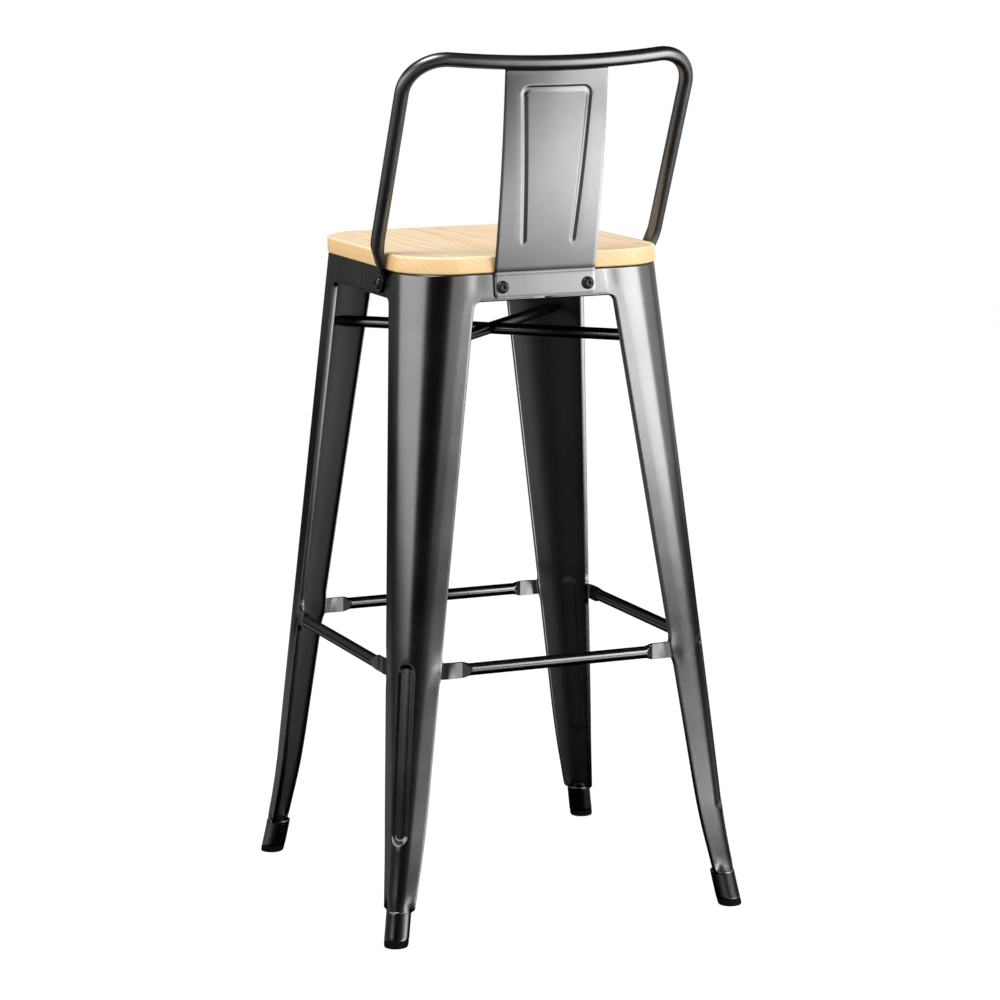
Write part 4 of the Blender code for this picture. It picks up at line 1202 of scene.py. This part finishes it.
class BARSTOOL_OT_bolts(Operator):
    """Button head bolts on the splat and hoop, with their nuts behind the sheet."""

    bl_idname = "barstool.bolts"
    bl_label = "Build Bolts"

    def execute(self, context):
        shape = context.scene.barstool_shape
        slope = LEG_SLOPE * DEPTH_RATIO
        for side, sx in (("left", 1), ("right", -1)):
            z = BOLT_HEIGHT
            splat_place = axis_frame((sx * BOLT_X, half_y(z), z), (0.0, 1.0, slope))
            hoop_place = axis_frame((sx * half_x(z), HOOP_BOLT_Y, z), (sx, 0.0, LEG_SLOPE))
            self.bolt("splat_bolt_" + side, splat_place, shape.splat_sheet + 2.0 * GAP)
            self.bolt("hoop_bolt_" + side, hoop_place, 0.0032 + 0.0008)
            self.nut("splat_nut_" + side, splat_place, shape.sheet)
            self.nut("hoop_nut_" + side, hoop_place, shape.sheet)
        return {"FINISHED"}

    @staticmethod
    def bolt(node, place, face):
        """A shank, a domed head and its hexagonal socket, turned round the bolt's axis."""
        head = 0.0072
        tall = 0.0042
        count = 48
        outline = [(0.0030, face - 0.0110), (0.0030, face - 0.0002), (head * 0.93, face - 0.0001)]
        outline += [(head, face + 0.0003), (head, face + tall * 0.16)]
        for turn in (12, 26, 40, 52, 62):
            angle = math.radians(turn)
            radius = head * (0.94 * math.cos(angle) + 0.02)
            outline.append((radius, face + tall * (0.20 + 0.80 * math.sin(angle))))
        top = face + tall
        outline.append((0.0033, top))
        socket = [(0.00262, top - 0.0001), (0.00245, top - 0.0005), (0.00240, face + tall * 0.35)]
        bm = bmesh.new()
        rows = [add_row(bm, circle(radius, z, count)) for radius, z in outline]
        rows += [add_row(bm, hexagon(radius * math.cos(math.pi / 6.0), z, count)) for radius, z in socket]
        skin_rows(bm, rows, closed=True)
        tip = bm.verts.new((0.0, 0.0, face + tall * 0.22))
        end = bm.verts.new((0.0, 0.0, face - 0.0116))
        for i in range(count):
            bm.faces.new((rows[-1][i], rows[-1][(i + 1) % count], tip))
            bm.faces.new((rows[0][(i + 1) % count], rows[0][i], end))
        bm.transform(place)
        bolt = finish_piece("button_" + node, bm, bolt_material(), node, sharp=40.0)
        centre = place @ Vector((0.0, 0.0, face))
        mark_edges(bolt, lambda p: 0.0 if (p - centre).length < 0.0055 else 0.5)

    @staticmethod
    def nut(node, place, sheet):
        """A chamfered hexagon nut behind the sheet."""
        half = 0.0050
        base = -sheet - 0.0003
        back = base - 0.0050
        bm = bmesh.new()
        rings = [hexagon(half, base, 48, half), hexagon(half, base - 0.0003, 48)]
        rings += [hexagon(half, base - 0.0042, 48), hexagon(half, back, 48, half)]
        for radius, z in ((0.0037, back), (0.0033, base - 0.0046), (0.0033, base - 0.0004), (0.0037, base)):
            rings.append(circle(radius, z, 48))
        rows = [add_row(bm, ring) for ring in rings]
        skin_rows(bm, rows + [rows[0]], closed=True)
        bm.transform(place)
        finish_piece("hex_" + node, bm, bolt_material(), node, sharp=30.0)


class BARSTOOL_OT_boards(Operator):
    """Seat boards: edge-glued softwood with a rounded outer edge."""

    bl_idname = "barstool.boards"
    bl_label = "Build Seat Boards"

    def execute(self, context):
        edge = context.scene.barstool_wood.edge_round
        width = 2.0 * SEAT_HALF_X / BOARD_COUNT
        joint = 0.00006
        for k in range(BOARD_COUNT):
            bm = self.block(edge)
            low = -SEAT_HALF_X + width * k
            high = low + width
            if k > 0:
                self.slice(bm, low + joint, -1.0)
            if k < BOARD_COUNT - 1:
                self.slice(bm, high - joint, 1.0)
            number = str(k + 1)
            finish_piece("softwood_" + number, bm, board_material(k), "seat_board_" + number,
                         sharp=50.0)
        return {"FINISHED"}

    @staticmethod
    def slice(bm, x, side):
        """Cut the block off at x on the given side and close the cut."""
        geometry = bm.verts[:] + bm.edges[:] + bm.faces[:]
        cut = bmesh.ops.bisect_plane(bm, geom=geometry, plane_co=(x, 0.0, 0.0), plane_no=(side, 0.0, 0.0),
                                     clear_outer=True, dist=1e-7)
        edges = [e for e in cut["geom_cut"] if isinstance(e, bmesh.types.BMEdge)]
        bmesh.ops.contextual_create(bm, geom=edges)

    @staticmethod
    def block(edge):
        """The whole seat with round corners, before it is cut into boards."""
        rings = []
        steps = [(SEAT_BOTTOM, 0.0022), (SEAT_BOTTOM + 0.0006, 0.0009), (SEAT_BOTTOM + 0.0012, 0.0003)]
        steps.append((SEAT_BOTTOM + 0.0022, 0.0))
        for k in range(9):
            angle = math.radians(90.0 * k / 8.0)
            steps.append((SEAT_TOP - edge + edge * math.sin(angle), edge - edge * math.cos(angle)))
        steps.append((SEAT_TOP, edge + 0.0006))
        for z, inset in steps:
            ring = []
            radius = SEAT_CORNER - inset
            for sx, sy, start in ((1, 1, 0.0), (-1, 1, 90.0), (-1, -1, 180.0), (1, -1, 270.0)):
                for k in range(33):
                    angle = math.radians(start + 90.0 * k / 32.0)
                    x = sx * (SEAT_HALF_X - SEAT_CORNER) + radius * math.cos(angle)
                    y = sy * (SEAT_HALF_Y - SEAT_CORNER) + radius * math.sin(angle)
                    ring.append((x, y, z))
            rings.append(ring)
        return loft(rings)


class BARSTOOL_OT_underseat(Operator):
    """Seat pan and wood screws keep their own solids and take the detailed finishes."""

    bl_idname = "barstool.underseat"
    bl_label = "Finish Seat Pan And Screws"

    def execute(self, context):
        self.coat("seat_pan", steel_material())
        for end in ("rear", "front"):
            for side in ("left", "right"):
                self.coat("seat_screw_" + end + "_" + side, bolt_material())
        return {"FINISHED"}

    @staticmethod
    def coat(node, material):
        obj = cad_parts[node]
        for slot in obj.material_slots:
            slot.material = material


# ---------------------------------------------------------------- stage
class BARSTOOL_OT_stage(Operator):
    """Pale floor, soft lights and the camera."""

    bl_idname = "barstool.stage"
    bl_label = "Build Stage"

    def execute(self, context):
        stage = context.scene.barstool_stage
        self.floor(stage)
        self.reflector(stage)
        self.world()
        self.lights(stage)
        self.camera(stage)
        context.scene.view_settings.view_transform = "Standard"
        return {"FINISHED"}

    @staticmethod
    def disc(name, radii, z, material):
        """A flat round sheet built from rings, facing up."""
        bm = bmesh.new()
        rows = []
        for radius in radii:
            rows.append(add_row(bm, circle(radius, z, 64)))
        skin_rows(bm, rows, closed=True)
        bm.faces.new(rows[0])
        bmesh.ops.recalc_face_normals(bm, faces=bm.faces)
        mesh = bpy.data.meshes.new(name)
        bm.to_mesh(mesh)
        bm.free()
        mesh.materials.append(material)
        sheet = bpy.data.objects.new(name, mesh)
        bpy.context.scene.collection.objects.link(sheet)
        return sheet

    def floor(self, stage):
        """White paper that shows white to the camera and stays duller for the light it passes on."""
        material, tree, shader, vector = new_material("floor_paper")
        shader.inputs["Base Color"].default_value = (*stage.floor_colour, 1.0)
        shader.inputs["Roughness"].default_value = 0.9
        shader.inputs["Specular IOR Level"].default_value = 0.0
        glow = add_node(tree, "ShaderNodeEmission")
        glow.inputs["Strength"].default_value = 1.06
        seen = add_node(tree, "ShaderNodeMixShader")
        seen.inputs[0].default_value = 0.90
        tree.links.new(shader.outputs[0], seen.inputs[1])
        tree.links.new(glow.outputs[0], seen.inputs[2])
        dull = add_node(tree, "ShaderNodeBsdfDiffuse")
        dull.inputs["Color"].default_value = (0.55, 0.55, 0.55, 1.0)
        path = add_node(tree, "ShaderNodeLightPath")
        blend = add_node(tree, "ShaderNodeMixShader")
        tree.links.new(path.outputs["Is Camera Ray"], blend.inputs[0])
        tree.links.new(dull.outputs[0], blend.inputs[1])
        tree.links.new(seen.outputs[0], blend.inputs[2])
        tree.links.new(blend.outputs[0], tree.nodes["Material Output"].inputs["Surface"])
        paper = self.disc("studio_floor", (0.5, 1.5, 3.0, 6.0), -0.0002, material)
        paper.visible_glossy = False

    def reflector(self, stage):
        """A glowing card far under the floor that only the steel mirrors, behind the stool's right side: a
        painted pool of light that stands in for the lit floor.
        """
        material, tree, shader, vector = new_material("painted_light_card")
        away = add_node(tree, "ShaderNodeVectorMath", operation="LENGTH")
        tree.links.new(vector, away.inputs[0])
        split = add_node(tree, "ShaderNodeSeparateXYZ")
        tree.links.new(vector, split.inputs[0])
        bearing = math_node(tree, "ARCTAN2", split.outputs["Y"], split.outputs["X"])
        # The glow is a painted pool of light, brightest over a band of bearings and distances from the
        # stool.
        rise = remap(tree, bearing, math.radians(100.0), math.radians(122.0), 0.08, 1.0)
        fall = remap(tree, bearing, math.radians(140.0), math.radians(172.0), 1.0, 0.0)
        near = remap(tree, away.outputs["Value"], 1.70, 2.90, 0.0, 1.0)
        far = remap(tree, away.outputs["Value"], 4.60, 5.60, 1.0, 0.07)
        painted_light_pool = times(tree, times(tree, rise, fall), times(tree, near, far))
        glow = add_node(tree, "ShaderNodeEmission")
        tree.links.new(times(tree, painted_light_pool, stage.card_strength), glow.inputs["Strength"])
        tree.links.new(glow.outputs[0], tree.nodes["Material Output"].inputs["Surface"])
        card = self.disc("painted_light_card", (0.8, 2.0, 4.0, 6.0, 14.0), -0.5, material)
        card.visible_camera = False
        card.visible_diffuse = False

    @staticmethod
    def world():
        world = bpy.data.worlds.new("studio_air")
        world.use_nodes = True
        tree = world.node_tree
        back = tree.nodes["Background"]
        path = add_node(tree, "ShaderNodeLightPath")
        diffuse = times(tree, path.outputs["Is Diffuse Ray"], 0.50)
        strength = math_node(tree, "ADD", path.outputs["Is Camera Ray"], diffuse)
        tree.links.new(strength, back.inputs["Strength"])
        back.inputs["Color"].default_value = (1.0, 1.0, 1.0, 1.0)
        bpy.context.scene.world = world

    @staticmethod
    def soft_box(name, place, target, width, height, power):
        data = bpy.data.lights.new(name, "AREA")
        data.shape = "RECTANGLE"
        data.size = width
        data.size_y = height
        data.energy = power
        lamp = bpy.data.objects.new(name, data)
        lamp.visible_camera = False
        bpy.context.scene.collection.objects.link(lamp)
        turn = (Vector(target) - Vector(place)).to_track_quat("-Z", "Y")
        lamp.matrix_world = Matrix.Translation(Vector(place)) @ turn.to_matrix().to_4x4()

    def lights(self, stage):
        """Soft boxes round the stool: name, azimuth, distance, height, target height, size and power."""
        boxes = (
            ("key_soft_box", 131.5, 2.3, 1.14, 0.75, 1.72, 1.40, stage.key_power),
            ("key_fill", 97.5, 2.4, 1.22, 0.75, 1.20, 1.20, stage.key_power * 0.107),
            ("key_spill", 173.0, 2.5, 1.10, 0.75, 1.70, 1.30, stage.key_power * 0.18),
            ("side_soft_box", -1.0, 2.4, 1.10, 0.70, 3.10, 1.20, stage.side_power),
            ("side_fill", -62.0, 2.5, 1.10, 0.70, 2.20, 1.40, stage.side_power * 0.08),
            ("front_soft_box", -147.0, 2.6, 1.00, 0.65, 1.60, 1.60, stage.front_power),
        )
        for name, azimuth, distance, height, target, wide, tall, power in boxes:
            angle = math.radians(azimuth)
            place = (distance * math.cos(angle), distance * math.sin(angle), height)
            self.soft_box(name, place, (0.0, 0.0, target), wide, tall, power)
        self.soft_box("top_soft_box", (1.0, 0.5, 2.6), (0.0, 0.0, 0.76), 1.0, 1.0, stage.top_power)

    @staticmethod
    def camera(stage):
        data = bpy.data.cameras.new("studio_camera")
        camera = bpy.data.objects.new("studio_camera", data)
        bpy.context.scene.collection.objects.link(camera)
        data.lens = stage.camera_lens
        data.sensor_width = 36.0
        data.shift_x = -0.0366
        data.shift_y = 0.0052
        yaw = math.radians(157.4267)
        pitch = math.radians(10.1911)
        roll = math.radians(-0.3815)
        level = math.cos(pitch)
        ahead = Vector((-math.sin(yaw) * level, math.cos(yaw) * level, -math.sin(pitch)))
        right = ahead.cross(Vector((0.0, 0.0, 1.0))).normalized()
        up = right.cross(ahead)
        turned_right = right * math.cos(roll) + up * math.sin(roll)
        turned_up = up * math.cos(roll) - right * math.sin(roll)
        rows = Matrix((turned_right, turned_up, -ahead)).transposed()
        camera.matrix_world = Matrix.Translation((1.5388, 3.8396, 1.1915)) @ rows.to_4x4()
        data.clip_start = 0.1
        bpy.context.scene.camera = camera


# ---------------------------------------------------------------- panel
class BARSTOOL_PT_builder(Panel):
    """Lists the stool's pieces and settings in the sidebar."""

    bl_label = "Bar Stool"
    bl_idname = "BARSTOOL_PT_builder"
    bl_space_type = "VIEW_3D"
    bl_region_type = "UI"
    bl_category = "Bar Stool"

    def draw(self, context):
        layout = self.layout
        for operator in OPERATORS:
            layout.operator(operator.bl_idname)
        for group, name in SETTINGS:
            box = layout.box()
            settings = getattr(context.scene, name)
            for key in group.__annotations__:
                box.prop(settings, key)


OPERATORS = (
    BARSTOOL_OT_legs,
    BARSTOOL_OT_feet,
    BARSTOOL_OT_footrests,
    BARSTOOL_OT_braces,
    BARSTOOL_OT_hoop,
    BARSTOOL_OT_splat,
    BARSTOOL_OT_bolts,
    BARSTOOL_OT_boards,
    BARSTOOL_OT_underseat,
    BARSTOOL_OT_stage,
)
SETTINGS = (
    (BARSTOOL_PG_metal, "barstool_metal"),
    (BARSTOOL_PG_wood, "barstool_wood"),
    (BARSTOOL_PG_shape, "barstool_shape"),
    (BARSTOOL_PG_stage, "barstool_stage"),
)


def register():
    for group, name in SETTINGS:
        bpy.utils.register_class(group)
        setattr(bpy.types.Scene, name, PointerProperty(type=group))
    for item in OPERATORS + (BARSTOOL_PT_builder,):
        bpy.utils.register_class(item)


def unregister():
    for item in reversed(OPERATORS + (BARSTOOL_PT_builder,)):
        bpy.utils.unregister_class(item)
    for group, name in reversed(SETTINGS):
        delattr(bpy.types.Scene, name)
        bpy.utils.unregister_class(group)


def main():
    register()
    bpy.ops.barstool.legs()
    bpy.ops.barstool.feet()
    bpy.ops.barstool.footrests()
    bpy.ops.barstool.braces()
    bpy.ops.barstool.hoop()
    bpy.ops.barstool.splat()
    bpy.ops.barstool.bolts()
    bpy.ops.barstool.boards()
    bpy.ops.barstool.underseat()
    bpy.ops.barstool.stage()


if __name__ == "__main__":
    main()
